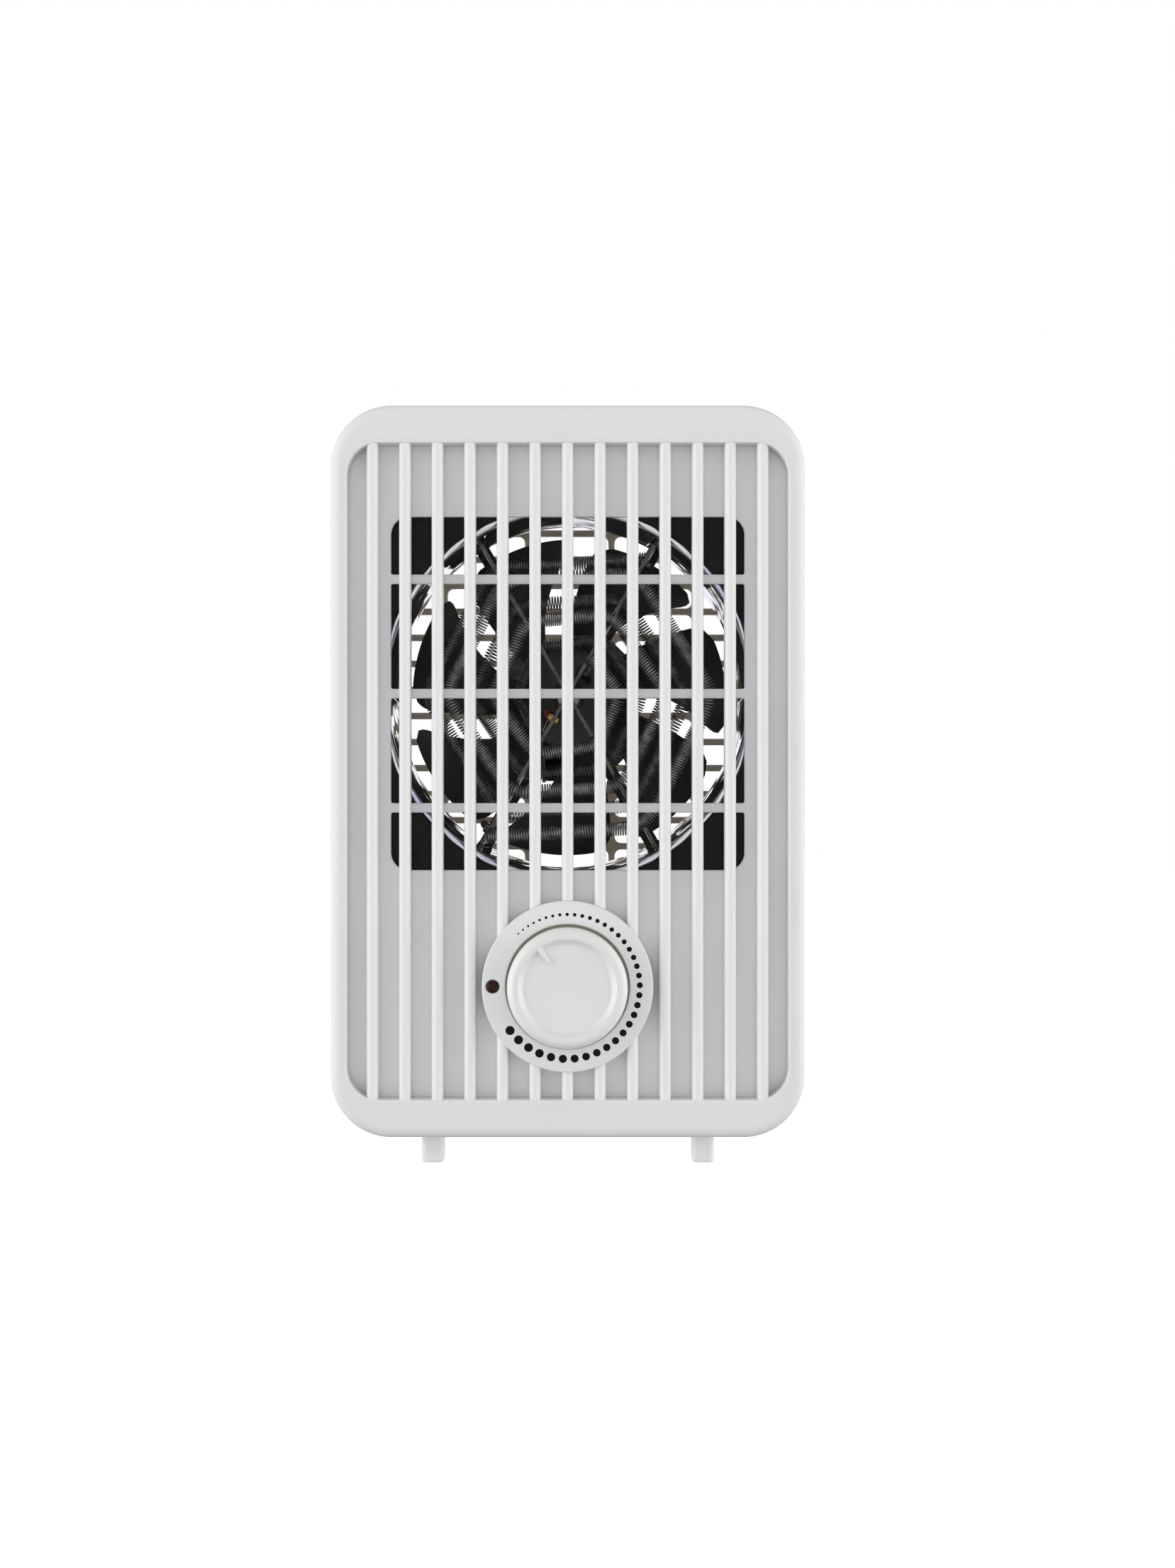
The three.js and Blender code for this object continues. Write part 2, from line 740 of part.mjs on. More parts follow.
piece("motor_shaft", rod(0, fanZ, shaftRadius, hubDepth - 3, coreEnd + 9, 12), zincSteel);

piece("motor_rotor",
  fanRing(shaftRadius + gap, rotorRadius, coreDepth - past, coreEnd + past, 24), coreSteel);

// The core's yoke, which carries the winding, runs along X below the rotor.
const yokeTop = -19;
const yokeBottom = -26;
const windowWidth = 24;
const windowHeight = 5;

function motorCore() {
  const halfWidth = 24;
  const top = 22;
  const corner = 8;
  const shape = new THREE.Shape();
  shape.moveTo(corner - halfWidth, yokeBottom);
  shape.lineTo(halfWidth - corner, yokeBottom);
  shape.lineTo(halfWidth, yokeBottom + corner);
  shape.lineTo(halfWidth, top - corner);
  shape.lineTo(halfWidth - corner, top);
  shape.lineTo(corner - halfWidth, top);
  shape.lineTo(-halfWidth, top - corner);
  shape.lineTo(-halfWidth, yokeBottom + corner);
  shape.closePath();
  const from = coreDepth - past;
  const to = coreEnd + past;
  const stack = slab(shape, coreDepth, coreEnd).translate(0, 0, fanZ);
  const windowMiddle = fanZ + yokeTop + windowHeight / 2;
  const windowRoom = block(0, windowMiddle, windowWidth, windowHeight, from, to);
  const screwHoles = atMotorScrews((x, z) => rod(x, z, 1.9, from, to));
  return cut(stack, rod(0, fanZ, rotorRadius + 0.4, from, to, 24), windowRoom, ...screwHoles);
}

piece("motor_core", motorCore(), coreSteel);

function motorWinding() {
  const thickness = 4.6;
  const overhang = windowHeight - 0.8;
  const width = windowWidth - 4;
  const middle = fanZ + (yokeTop + yokeBottom) / 2;
  const room = yokeTop - yokeBottom + 2 * gap;
  const from = coreDepth - gap;
  const to = coreEnd + gap;
  const outer = block(0, middle, width, room + 2 * overhang, from - thickness, to + thickness);
  return cut(outer, block(0, middle, width + 2, room, from, to));
}

piece("motor_winding", motorWinding(), copper);

const bearingRadius = 4;
const bracketThickness = 1.2;
const bracketHeight = 13;

// A bearing bracket is a strip across the motor on two feet that stand on the core.
function bearingBracket(stripFrom, feetFrom, feetTo) {
  const stripTo = stripFrom + bracketThickness;
  const strip = block(0, fanZ, 48, bracketHeight, stripFrom, stripTo);
  const feet = atMotorScrews((x, z) => block(x, z, 9, bracketHeight, feetFrom, feetTo));
  const bushHole = rod(0, fanZ, bearingRadius + gap, stripFrom - past, stripTo + past, 16);
  const screwHoles = atMotorScrews((x, z) =>
    rod(x, z, 1.7, Math.min(stripFrom, feetFrom) - past, Math.max(stripTo, feetTo) + past));
  return cut(join(strip, ...feet), bushHole, ...screwHoles);
}

const bracketFront = spiderDepth + spiderThickness + gap;
const bracketRear = coreEnd + 4;
piece("bearing_bracket_front",
  bearingBracket(bracketFront, bracketFront, coreDepth - gap), zincSteel);
piece("bearing_bracket_rear",
  bearingBracket(bracketRear, coreEnd + gap, bracketRear + bracketThickness), zincSteel);

const bearing = (from, to) => fanRing(shaftRadius + gap, bearingRadius, from, to, 16);
piece("bearing_front", bearing(bracketFront - 1.5, bracketFront + 3.4), brass);
piece("bearing_rear", bearing(bracketRear - 2, bracketRear + 3), brass);

// The shroud plugs over the sleeve's back edge and carries the motor on four legs, which lie in
// line with the two slanting boards.
function motorSpider() {
  const from = spiderDepth;
  const to = spiderDepth + spiderThickness;
  const outer = shroudRadius + 2;
  const socket = throatRadius + sleeveWall + 0.7;
  const shroud = turned(0, fanZ, [
    [socket, shroudDepth],
    [outer, shroudDepth],
    [outer, to],
    [shroudRadius, to],
    [shroudRadius, shroudDepth + 2.5],
    [socket, shroudDepth + 2.5],
  ], ringSides, true);
  const legs = boardAngles.slice(1).map((angle) =>
    crossBar(2 * (shroudRadius + past), 5, from, to, angle));
  const seat = block(0, fanZ, 50, bracketHeight + 2, from, to);
  const bushRoom = rod(0, fanZ, bearingRadius + past, from - past, to + past, 16);
  const screwHoles = atMotorScrews((x, z) => rod(x, z, pilot, from - past, to + past));
  return cut(join(shroud, ...legs, seat), bushRoom, ...screwHoles);
}

piece("motor_spider", motorSpider(), blackPlastic);

// ---- Wiring compartment ----

piece("tip_over_switch", block(-42, footHeight + wall + gap + 10, 24, 20, 56, 79), blackPlastic);

function terminalBlock() {
  const middle = 22;
  const z = 40;
  const pitch = 12;
  const base = block(middle, z, 3 * pitch, pitch, 84, 98);
  const towers = [-1, 0, 1].map((i) => block(middle + i * pitch, z, 8, pitch, 98 - past, 104));
  return join(base, ...towers);
}

piece("terminal_block", terminalBlock(), nylon);

// Leads through [x, depth, z] points, from one terminal to the next.
const leads = {
  live_lead: {
    finish: redSleeve,
    points: [[12, 83.4, 40], [12, 74, 41], [14, 56, 50], [9, 46, 60], [9, 41.6, dialZ]],
  },
  switched_lead: {
    finish: redSleeve,
    points: [[-9, 41.6, dialZ], [-10, 50, 56], [-30, 62, 44], [-38, 66, 36], [-38, 67, 33.9]],
  },
  element_lead: {
    finish: redSleeve,
    points: [[-46, 67, 33.9], [-47, 66, 46], [-42, 56, 68], [-30, 38, 83], [-20.4, 31, 87.4]],
  },
  neutral_lead: {
    finish: blueSleeve,
    points: [[34, 83.4, 40], [36, 76, 46], [38, 68, 66], [37, 44, 84], [32.6, 31.2, fuseZ]],
  },
};

Object.entries(leads).forEach(([name, { finish, points }]) => {
  const route = new THREE.CatmullRomCurve3(
    points.map(([x, behindFront, z]) => new THREE.Vector3(x, depth(behindFront), z)));
  piece(name, swept(route, 1.2, 11, 6), finish);
});

function cordGland() {
  const bore = 3.6;
  const from = bodyDepth - 12;
  const to = bodyDepth - gap - 1.2;
  const flangeTo = bodyDepth - wall - gap;
  const body = turned(glandX, glandZ, [
    [bore, from],
    [glandRadius - 1, from],
    [glandRadius, from + 3],
    [glandRadius, to],
    [bore, to],
  ], 16, true);
  const flange = turned(glandX, glandZ, [
    [bore, flangeTo - 2],
    [glandRadius + 2, flangeTo - 2],
    [glandRadius + 2, flangeTo],
    [bore, flangeTo],
  ], 16, true);
  return join(body, flange);
}

piece("cord_gland", cordGland(), blackPlastic);

// ---- Screws ----

// A pan-headed screw that points forwards, with its head's underside at the given depth.
function screw(x, z, seat, length, headRadius) {
  const shank = 1.2;
  const headHeight = 2;
  const tip = seat - length;
  return turned(x, z, [
    [0, tip],
    [shank, tip + shank],
    [shank, seat],
    [headRadius, seat],
    [headRadius, seat + 0.6 * headHeight],
    [headRadius - 0.8, seat + headHeight],
    [0, seat + headHeight],
  ], 8);
}

const panelSeat = panelDepth + panelThickness + gap;
const baffleSeat = baffleDepth + 2 + gap;
const motorSeat = bracketRear + bracketThickness + gap;
const screws = {
  rear_screw: atPosts((x, z) => screw(x, z, screwSeat + gap, 40, 3.3)),
  panel_screw: atPanelScrews((x, z) => screw(x, z, panelSeat, 6, 2.7)),
  baffle_screw: atBaffleScrews((x, z) => screw(x, z, baffleSeat, 3.4, 2.7)),
  motor_screw: atMotorScrews((x, z) => screw(x, z, motorSeat, 29, 2.7)),
};

Object.entries(screws).forEach(([name, copies]) =>
  copies.forEach((geometry, i) => piece(`${name}_${i + 1}`, geometry, zincSteel)));

export default heater;
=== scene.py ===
"""The looks of a compact fan heater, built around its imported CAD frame.

Lengths are millimetres until a mesh is made. +Z is up, the front faces -Y, and a depth is
measured backwards from the casing's front face.
"""

import json
import math

import bmesh
import bpy
import numpy as np
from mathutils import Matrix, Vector
from mathutils.geometry import tessellate_polygon

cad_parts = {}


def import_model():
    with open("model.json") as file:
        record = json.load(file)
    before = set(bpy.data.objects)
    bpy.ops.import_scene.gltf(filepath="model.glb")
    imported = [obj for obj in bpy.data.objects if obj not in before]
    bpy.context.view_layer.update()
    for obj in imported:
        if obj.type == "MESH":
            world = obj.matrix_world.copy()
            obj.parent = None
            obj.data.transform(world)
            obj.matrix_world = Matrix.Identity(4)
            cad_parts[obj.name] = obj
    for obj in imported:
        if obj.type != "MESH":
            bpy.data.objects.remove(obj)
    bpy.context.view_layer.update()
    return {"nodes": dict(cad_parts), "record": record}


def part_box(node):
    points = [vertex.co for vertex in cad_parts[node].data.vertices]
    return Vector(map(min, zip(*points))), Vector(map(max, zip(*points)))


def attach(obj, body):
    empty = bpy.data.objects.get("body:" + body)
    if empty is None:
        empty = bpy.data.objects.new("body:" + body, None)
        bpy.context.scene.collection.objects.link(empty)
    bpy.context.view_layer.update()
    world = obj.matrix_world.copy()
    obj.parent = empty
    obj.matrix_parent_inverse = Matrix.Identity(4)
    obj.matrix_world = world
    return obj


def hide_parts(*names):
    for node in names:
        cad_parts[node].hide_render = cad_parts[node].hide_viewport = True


MM = 0.001
SAME_PLACE = 1e-7  # vertices nearer than this many metres are one

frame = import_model()


# ---- Places, from the frame ----


def box(node):
    """A node's lowest and highest corners, in millimetres."""
    low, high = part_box(node)
    return low / MM, high / MM


def axis_of(node):
    """The (x, z) place of a node's axis, which runs along Y."""
    low, high = box(node)
    return (low.x + high.x) / 2, (low.z + high.z) / 2


def depths(node):
    """How far a node's front and its back lie behind the casing's front face."""
    low, high = box(node)
    return low.y - front_y, high.y - front_y


shell_low, shell_high = box("front_shell")
front_y = shell_low.y
body_width = shell_high.x - shell_low.x
body_height = shell_high.z - shell_low.z
_, middle_z = axis_of("front_shell")
_, body_depth = depths("rear_shell")
_, fan_z = axis_of("heater_sleeve")
_, dial_z = axis_of("dial_plate")
dial_low, dial_high = box("dial_plate")
dial_radius = (dial_high.x - dial_low.x) / 2


# ---- Sizes ----

GAP = 0.3
FIT = 0.015  # what shows of a close joint between two mouldings
WALL = 2.2
INTO = 1.0  # how far one part of a moulding reaches into the next
BODY_CORNER = 21.0
EDGE_ROUND = 3.0
FACE_SPREAD = 1.28  # the front rounding reaches further in than it reaches back
PARTING = 50.0
SEAM_SOFT = 0.45  # radius of the two halves' edges along the parting
POST_X, POST_Z = 62.0, 119.0  # from the casing's middle to each screw post
POST_END = 80.0
SCREW_SEAT = 104.0

OPENING = (150.6, 224.0, 10.9)  # width, height and corner radius
LIP_WIDTH = 1.7
LIP_SOFT = 0.5  # radius of the lip's rounded inner edge
GRILLE_DEPTH = 7.7
RIM_FRONT = 0.02  # the grille's rim lies flush with the casing
SLAT_COUNT = 13
SLAT_PITCH = 11.11
SLAT_WIDTH = 3.9

WINDOW = 121.4
WINDOW_CORNER = 6.0
BAR_PITCH = 39.3
BAR_THICKNESS = 3.3

WELL_RADIUS = 21.25
KNOB_RADIUS = 20.5
POINTER_ANGLE = 125.0
LAMP_RING = 25.5
LAMP_RADIUS = 2.1

MOUTH_RADIUS = 63.9
FLARE_RADIUS = 62.0
THROAT_RADIUS = 60.4
SLEEVE_WALL = 0.8
SHROUD_RADIUS = 64.8
COIL_RADIUS = 2.5
COIL_OUTER = 56.5
COIL_PITCH = 16.5
COIL_TURNS = 2.5
FRONT_COIL = (240, 19.5)  # degrees round to its outer end, and the depth of its centre line
REAR_COIL = (60, 42.5)
WIRE_RADIUS = 0.25
GLAND_RADIUS = 6.0

BLADE_COUNT = 7
BLADE_TIP = 57.0
HUB_RADIUS = 18.0
BLADE_TWIST = 20.0
BLADE_SWEEP = 0.37
BLADE_PHASE = math.radians(130)

CORNERS = [(-1, -1), (1, -1), (-1, 1), (1, 1)]
POSTS = [(side_x * POST_X, middle_z + side_z * POST_Z) for side_x, side_z in CORNERS]


# ---- Outlines ----


def filleted(points, closed=True, steps=6):
    """A polyline of (u, v, fillet radius) corners, with an arc at each corner that has a radius."""
    line = []
    count = len(points)
    for i, (u, v, radius) in enumerate(points):
        corner = Vector((u, v))
        at_end = not closed and i in (0, count - 1)
        if not radius or at_end:
            line.append((u, v))
            continue
        back = (Vector(points[i - 1][:2]) - corner).normalized()
        on = (Vector(points[(i + 1) % count][:2]) - corner).normalized()
        half = back.angle(on) / 2
        middle = corner + (back + on).normalized() * radius / math.sin(half)
        start = corner + back * radius / math.tan(half) - middle
        end = corner + on * radius / math.tan(half) - middle
        sweep = math.pi - 2 * half
        for k in range(steps + 1):
            share = k / steps
            arm = start * math.sin((1 - share) * sweep) + end * math.sin(share * sweep)
            place = middle + arm / math.sin(sweep)
            line.append((place.x, place.y))
    return line


def rounded_rect(x, z, width, height, corner, steps=8):
    """An outline that can grow: a function from a growth to (x, z) points."""

    def outline(grow=0.0):
        half_w = width / 2 + grow
        half_h = height / 2 + grow
        radius = max(corner + grow, 0.05)
        points = []
        for quarter, (side_x, side_z) in enumerate([(1, 1), (-1, 1), (-1, -1), (1, -1)]):
            for k in range(steps + 1):
                angle = (quarter + k / steps) * math.pi / 2
                points.append((
                    x + side_x * (half_w - radius) + radius * math.cos(angle),
                    z + side_z * (half_h - radius) + radius * math.sin(angle),
                ))
        return points

    return outline


def circle(x, z, radius, steps=48):
    """A round outline that can grow."""

    def outline(grow=0.0):
        return [
            (x + (radius + grow) * math.cos(2 * math.pi * k / steps),
             z + (radius + grow) * math.sin(2 * math.pi * k / steps))
            for k in range(steps)
        ]

    return outline


def laid_at(points, angle, x, z):
    """(along, across) points, turned by an angle about (x, z), as (x, z) points."""
    along = Vector((math.cos(angle), math.sin(angle)))
    across = Vector((-along.y, along.x))
    places = [along * u + across * v for u, v in points]
    return [(x + place.x, z + place.y) for place in places]


def bar(start, end, half, angle, x, z):
    """The outline of a straight bar, which runs from start to end at an angle about (x, z)."""
    return laid_at([(start, -half), (end, -half), (end, half), (start, half)], angle, x, z)


# ---- Meshes ----


class Solid:
    """The vertices and faces of one piece, in millimetres. Flat faces are kept flat."""

    def __init__(self):
        self.points = []
        self.faces = []
        self.smooth = []

    def raw(self, points):
        """Adds (x, y, z) points, and returns the numbers of their vertices."""
        start = len(self.points)
        self.points += [tuple(point) for point in points]
        return list(range(start, len(self.points)))

    def ring(self, outline, behind_front):
        """Adds an outline of (x, z) points at a depth."""
        return self.raw([(x, front_y + behind_front, z) for x, z in outline])

    def near_edge(self, outline, face, radius, steps, grow=-1):
        """The rings of a rounded edge, from a front face back to the wall behind it."""
        return [self.ring(outline(grow * inset), face + rise)
                for inset, rise in edge_steps(radius, steps)]

    def far_edge(self, outline, face, radius, steps, grow=-1):
        """The rings of a rounded edge, from a wall back to the rear face."""
        return [self.ring(outline(grow * inset), face - rise)
                for inset, rise in reversed(edge_steps(radius, steps))]

    def face(self, corners, smooth=False):
        self.faces.append(tuple(corners))
        self.smooth.append(smooth)

    def strip(self, near, far):
        """Joins two rings by a wall of four-sided faces."""
        for j in range(len(near)):
            k = (j + 1) % len(near)
            self.face((near[j], far[j], far[k], near[k]), smooth=True)

    def strips(self, rings, closed=False):
        for near, far in zip(rings, rings[1:]):
            self.strip(near, far)
        if closed:
            self.strip(rings[-1], rings[0])

    def capped(self, rings):
        """Joins rings in turn, and puts a face over each end."""
        self.strips(rings)
        self.face(rings[0])
        self.face(rings[-1])

    def fill(self, rings):
        """Fills the first ring, leaving the others open as holes."""
        flat = [number for ring in rings for number in ring]
        loops = [[Vector((self.points[n][0], self.points[n][2], 0)) for n in ring]
                 for ring in rings]
        for triangle in tessellate_polygon(loops):
            self.face([flat[i] for i in triangle])


def edge_steps(radius, steps):
    """(inset, rise) pairs that follow a rounded edge from the flat face to the side."""
    if not radius:
        return [(0.0, 0.0)]
    return [
        (radius * (1 - math.sin(k / steps * math.pi / 2)),
         radius * (1 - math.cos(k / steps * math.pi / 2)))
        for k in range(steps + 1)
    ]


def plate(solid, outer, holes, near, far, near_round=0.0, far_round=0.0, steps=4):
    """A flat piece with holes, and rounded edges round its outline and its holes."""
    near_rings = []
    far_rings = []
    for outline in [outer, *holes]:
        grow = -1 if outline is outer else 1
        rings = solid.near_edge(outline, near, near_round, steps, grow)
        rings += solid.far_edge(outline, far, far_round, steps, grow)
        solid.strips(rings)
        near_rings.append(rings[0])
        far_rings.append(rings[-1])
    solid.fill(near_rings)
    solid.fill(far_rings)


def lathe(solid, x, z, profile, closed=False, segments=96):
    """Turns (radius, depth) points about an axis along Y. A zero radius is a pole."""
    rings = []
    for radius, behind_front in profile:
        outline = circle(x, z, radius, segments)() if radius else [(x, z)]
        rings.append(solid.ring(outline, behind_front))
    pairs = list(zip(rings, rings[1:]))
    if closed:
        pairs.append((rings[-1], rings[0]))
    for near, far in pairs:
        if len(near) == len(far):
            solid.strip(near, far)
            continue
        for j in range(segments):
            k = (j + 1) % segments
            corners = (near[0], far[j], far[k]) if len(near) == 1 else (near[j], far[0], near[k])
            solid.face(corners, smooth=True)


def collar(solid, x, z, inner, outer, near, far, segments=128):
    """A round wall between two radii and two depths."""
    lathe(solid, x, z, [(inner, near), (outer, near), (outer, far), (inner, far)],
          closed=True, segments=segments)


def prism(solid, outline, low, high, rounding=0.0, steps=3):
    """A solid along Z from an (x, y) outline that can grow, with rounded top and bottom edges."""
    edge = edge_steps(rounding, steps)
    levels = [(inset, low + rise) for inset, rise in edge]
    levels += [(inset, high - rise) for inset, rise in reversed(edge)]
    solid.capped([solid.raw([(x, y, level) for x, y in outline(-inset)])
                  for inset, level in levels])


def tube(solid, path, radii, sides=16):
    """A round bar through (x, depth, z) points, with a radius at each, and flat ends."""
    places = [Vector((x, front_y + s, z)) for x, s, z in path]
    across = None
    rings = []
    for i, place in enumerate(places):
        ahead = (places[min(i + 1, len(places) - 1)] - places[max(i - 1, 0)]).normalized()
        if across is None:
            across = ahead.orthogonal().normalized()
        across = (across - ahead * across.dot(ahead)).normalized()
        other = ahead.cross(across)
        rings.append(solid.raw([
            place + radii[i] * (math.cos(turn) * across + math.sin(turn) * other)
            for turn in (2 * math.pi * k / sides for k in range(sides))
        ]))
    solid.capped(rings)


def object_from(name, solid, sharp=35):
    """An object of the solid's shape. Edges that turn by more than sharp degrees stay sharp."""
    mesh = bpy.data.meshes.new(name)
    mesh.from_pydata([Vector(p) * MM for p in solid.points], [], solid.faces)
    mesh.polygons.foreach_set("use_smooth", solid.smooth)
    work = bmesh.new()
    work.from_mesh(mesh)
    bmesh.ops.remove_doubles(work, verts=work.verts, dist=SAME_PLACE)
    bmesh.ops.recalc_face_normals(work, faces=work.faces)
    work.to_mesh(mesh)
    work.free()
    mesh.set_sharp_from_angle(angle=math.radians(sharp))
    obj = bpy.data.objects.new(name, mesh)
    bpy.context.scene.collection.objects.link(obj)
    return obj


def piece(name, solid, slot, look=None, body="casing", stands_for=(), sharp=35):
    """Makes a visible piece that rides on a CAD body and stands for some of its nodes.

    It has the look of its slot, unless it is given one of its own.
    """
    obj = object_from(name, solid, sharp) if isinstance(solid, Solid) else solid
    obj.data.materials.clear()
    obj.data.materials.append(look or LOOKS[slot])
    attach(obj, body)
    if stands_for:
        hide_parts(*stands_for)
    return obj


def carved(obj, cutters):
    """The object with the cutters' shapes taken out of it."""
    for cutter in cutters:
        cut = obj.modifiers.new("cut", "BOOLEAN")
        cut.operation = "DIFFERENCE"
        cut.solver = "EXACT"
        cut.object = cutter
    evaluated = obj.evaluated_get(bpy.context.evaluated_depsgraph_get())
    mesh = bpy.data.meshes.new_from_object(evaluated)
    obj.modifiers.clear()
    obj.data = mesh
    for cutter in cutters:
        bpy.data.objects.remove(cutter)
    return obj


# ---- Materials ----


SOCKETS = {
    "metallic": "Metallic",
    "roughness": "Roughness",
    "ior": "IOR",
    "coat": "Coat Weight",
    "coat_roughness": "Coat Roughness",
    "specular": "Specular IOR Level",
    "sheen": "Sheen Weight",
    "subsurface": "Subsurface Weight",
    "subsurface_radius": "Subsurface Radius",
    "subsurface_scale": "Subsurface Scale",
    "glow": "Emission Color",
    "glow_strength": "Emission Strength",
}


def spread(nodes, links, factor, at, to):
    """Spreads a factor that runs between the values of at over the values of to."""
    node = nodes.new("ShaderNodeMapRange")
    names = ("From Min", "From Max", "To Min", "To Max")
    for name, value in zip(names, (*at, *to)):
        node.inputs[name].default_value = value
    links.new(factor, node.inputs["Value"])
    return node.outputs["Result"]


class Shader:
    """A material under construction: a Principled surface and the nodes that feed it."""

    def __init__(self, name):
        self.material = bpy.data.materials.new(name)
        self.material.use_nodes = True
        self.nodes = self.material.node_tree.nodes
        self.links = self.material.node_tree.links
        self.surface = self.nodes["Principled BSDF"]
        self.place = self.nodes.new("ShaderNodeTexCoord").outputs["Object"]

    def stretched(self, scale):
        """Object coordinates with a scale of their own along each axis."""
        node = self.nodes.new("ShaderNodeMapping")
        node.inputs["Scale"].default_value = scale
        self.links.new(self.place, node.inputs["Vector"])
        return node.outputs["Vector"]

    def noise(self, size, detail=3.0, place=None):
        """Noise whose blotches are about the given size in millimetres."""
        node = self.nodes.new("ShaderNodeTexNoise")
        node.inputs["Scale"].default_value = 1 / (size * MM)
        node.inputs["Detail"].default_value = detail
        self.links.new(place or self.place, node.inputs["Vector"])
        return node.outputs["Fac"]

    def cells(self, size):
        """Cells of about the given size in millimetres: how far each place is from a middle."""
        node = self.nodes.new("ShaderNodeTexVoronoi")
        node.inputs["Scale"].default_value = 1 / (size * MM)
        self.links.new(self.place, node.inputs["Vector"])
        return node.outputs["Distance"]

    def colour(self, factor, stops):
        """The surface's colour, from colours at places along a factor from 0 to 1."""
        node = self.nodes.new("ShaderNodeValToRGB")
        band = node.color_ramp
        while len(band.elements) < len(stops):
            band.elements.new(0.5)
        for element, (where, colour) in zip(band.elements, stops):
            element.position = where
            element.color = (*colour, 1)
        self.links.new(factor, node.inputs["Fac"])
        self.links.new(node.outputs["Color"], self.surface.inputs["Base Color"])

    def roughness(self, noise, low, high):
        """The surface's roughness, from low to high over the middle of a noise's range."""
        result = spread(self.nodes, self.links, noise, (0.3, 0.7), (low, high))
        self.links.new(result, self.surface.inputs["Roughness"])

    def bump(self, height, distance):
        """Relief of the given depth in millimetres, on top of any relief made before."""
        node = self.nodes.new("ShaderNodeBump")
        node.inputs["Distance"].default_value = distance * MM
        node.inputs["Strength"].default_value = 1.0
        self.links.new(height, node.inputs["Height"])
        normal = self.surface.inputs["Normal"]
        if normal.links:
            self.links.new(normal.links[0].from_socket, node.inputs["Normal"])
        self.links.new(node.outputs["Normal"], normal)

    def set(self, **values):
        """Sets what is the same all over the surface."""
        for name, value in values.items():
            self.surface.inputs[SOCKETS[name]].default_value = value


def shade(colour, by):
    """A colour made darker by a factor."""
    return tuple(channel * by for channel in colour)


def plastic(name, colour, rough, grain=0.35, relief=0.012, vary=0.025, uneven=0.045, **constants):
    """Moulded plastic: faint blotches of colour and gloss, and a fine moulded grain."""
    look = Shader(name)
    look.colour(look.noise(38, detail=2), [(0.35, shade(colour, 1 - vary)), (0.65, colour)])
    look.roughness(look.noise(6, detail=4), rough - uneven, rough + uneven)
    look.bump(look.noise(grain, detail=2), relief)
    look.bump(look.noise(24, detail=1), 0.02)
    look.set(ior=1.49, coat_roughness=0.12, **constants)
    return look.material


def white_casing(name, **constants):
    """The casing's glossy white plastic."""
    return plastic(name, (0.832, 0.837, 0.838), 0.36, vary=0.02, coat=0.15, **constants)


def polished_steel():
    """Bright rolled sheet that has taken straw and violet heat tints inside."""
    look = Shader("polished_steel")
    look.colour(look.noise(26, detail=3), [
        (0.36, (0.62, 0.60, 0.80)),
        (0.46, (0.90, 0.90, 0.92)),
        (0.62, (0.92, 0.91, 0.88)),
        (0.72, (0.80, 0.74, 0.56)),
    ])
    look.roughness(look.noise(9, detail=4), 0.03, 0.1)
    look.bump(look.noise(1.2, detail=3, place=look.stretched((1.0, 0.06, 1.0))), 0.012)
    look.bump(look.noise(11, detail=1), 0.42)
    look.set(metallic=1.0)
    return look.material


def metal(name, colour, rough, tint, relief=0.01):
    """Worked metal: mottled with a tint, with uneven gloss and a fine surface grain."""
    look = Shader(name)
    look.colour(look.noise(5, detail=4), [(0.35, tint), (0.62, colour)])
    look.roughness(look.noise(3, detail=3), rough - 0.08, rough + 0.1)
    look.bump(look.noise(0.8, detail=3), relief)
    look.set(metallic=1.0)
    return look.material


def nichrome():
    """Resistance wire that has gone grey with heat, with bare bright places."""
    look = Shader("nichrome")
    look.colour(look.noise(2.6, detail=4), [
        (0.30, (0.26, 0.25, 0.245)),
        (0.52, (0.50, 0.49, 0.48)),
        (0.70, (0.80, 0.79, 0.78)),
    ])
    look.roughness(look.noise(1.5, detail=3), 0.3, 0.6)
    look.bump(look.noise(0.4, detail=2), 0.01)
    look.set(metallic=1.0)
    return look.material


def mica():
    """Pressed mica: flakes of silver, brown and grey, with a soft pearly gloss."""
    look = Shader("mica")
    flakes = look.cells(1.6)
    look.colour(flakes, [
        (0.0, (0.055, 0.050, 0.045)),
        (0.45, (0.11, 0.10, 0.09)),
        (0.9, (0.20, 0.185, 0.17)),
    ])
    look.roughness(look.noise(2.0, detail=3), 0.3, 0.55)
    look.bump(flakes, 0.05)
    look.set(ior=1.58, coat=0.25, coat_roughness=0.3)
    return look.material


def woven(name, colour):
    """A braided glass sleeve over a lead."""
    look = Shader(name)
    strands = look.cells(0.5)
    look.colour(strands, [(0.1, colour), (0.8, shade(colour, 0.55))])
    look.roughness(look.noise(2), 0.6, 0.8)
    look.bump(strands, 0.08)
    look.set(sheen=0.2)
    return look.material


def dark_lens():
    """A lamp's red lens, almost black while the lamp is off."""
    look = Shader("lens_plastic")
    look.colour(look.noise(1.5), [(0.3, (0.018, 0.006, 0.004)), (0.7, (0.045, 0.016, 0.011))])
    look.roughness(look.noise(1.0), 0.06, 0.14)
    look.bump(look.noise(0.9, detail=1), 0.006)
    look.set(ior=1.4, specular=0.25)
    return look.material


def glazed(name, colour, rough):
    """Pale ceramic or nylon: mottled a little, with an uneven satin gloss."""
    look = Shader(name)
    look.colour(look.noise(4, detail=4), [(0.35, shade(colour, 0.86)), (0.6, colour)])
    look.roughness(look.noise(2.5), rough - 0.06, rough + 0.08)
    look.bump(look.noise(0.6, detail=3), 0.02)
    look.set(ior=1.55)
    return look.material


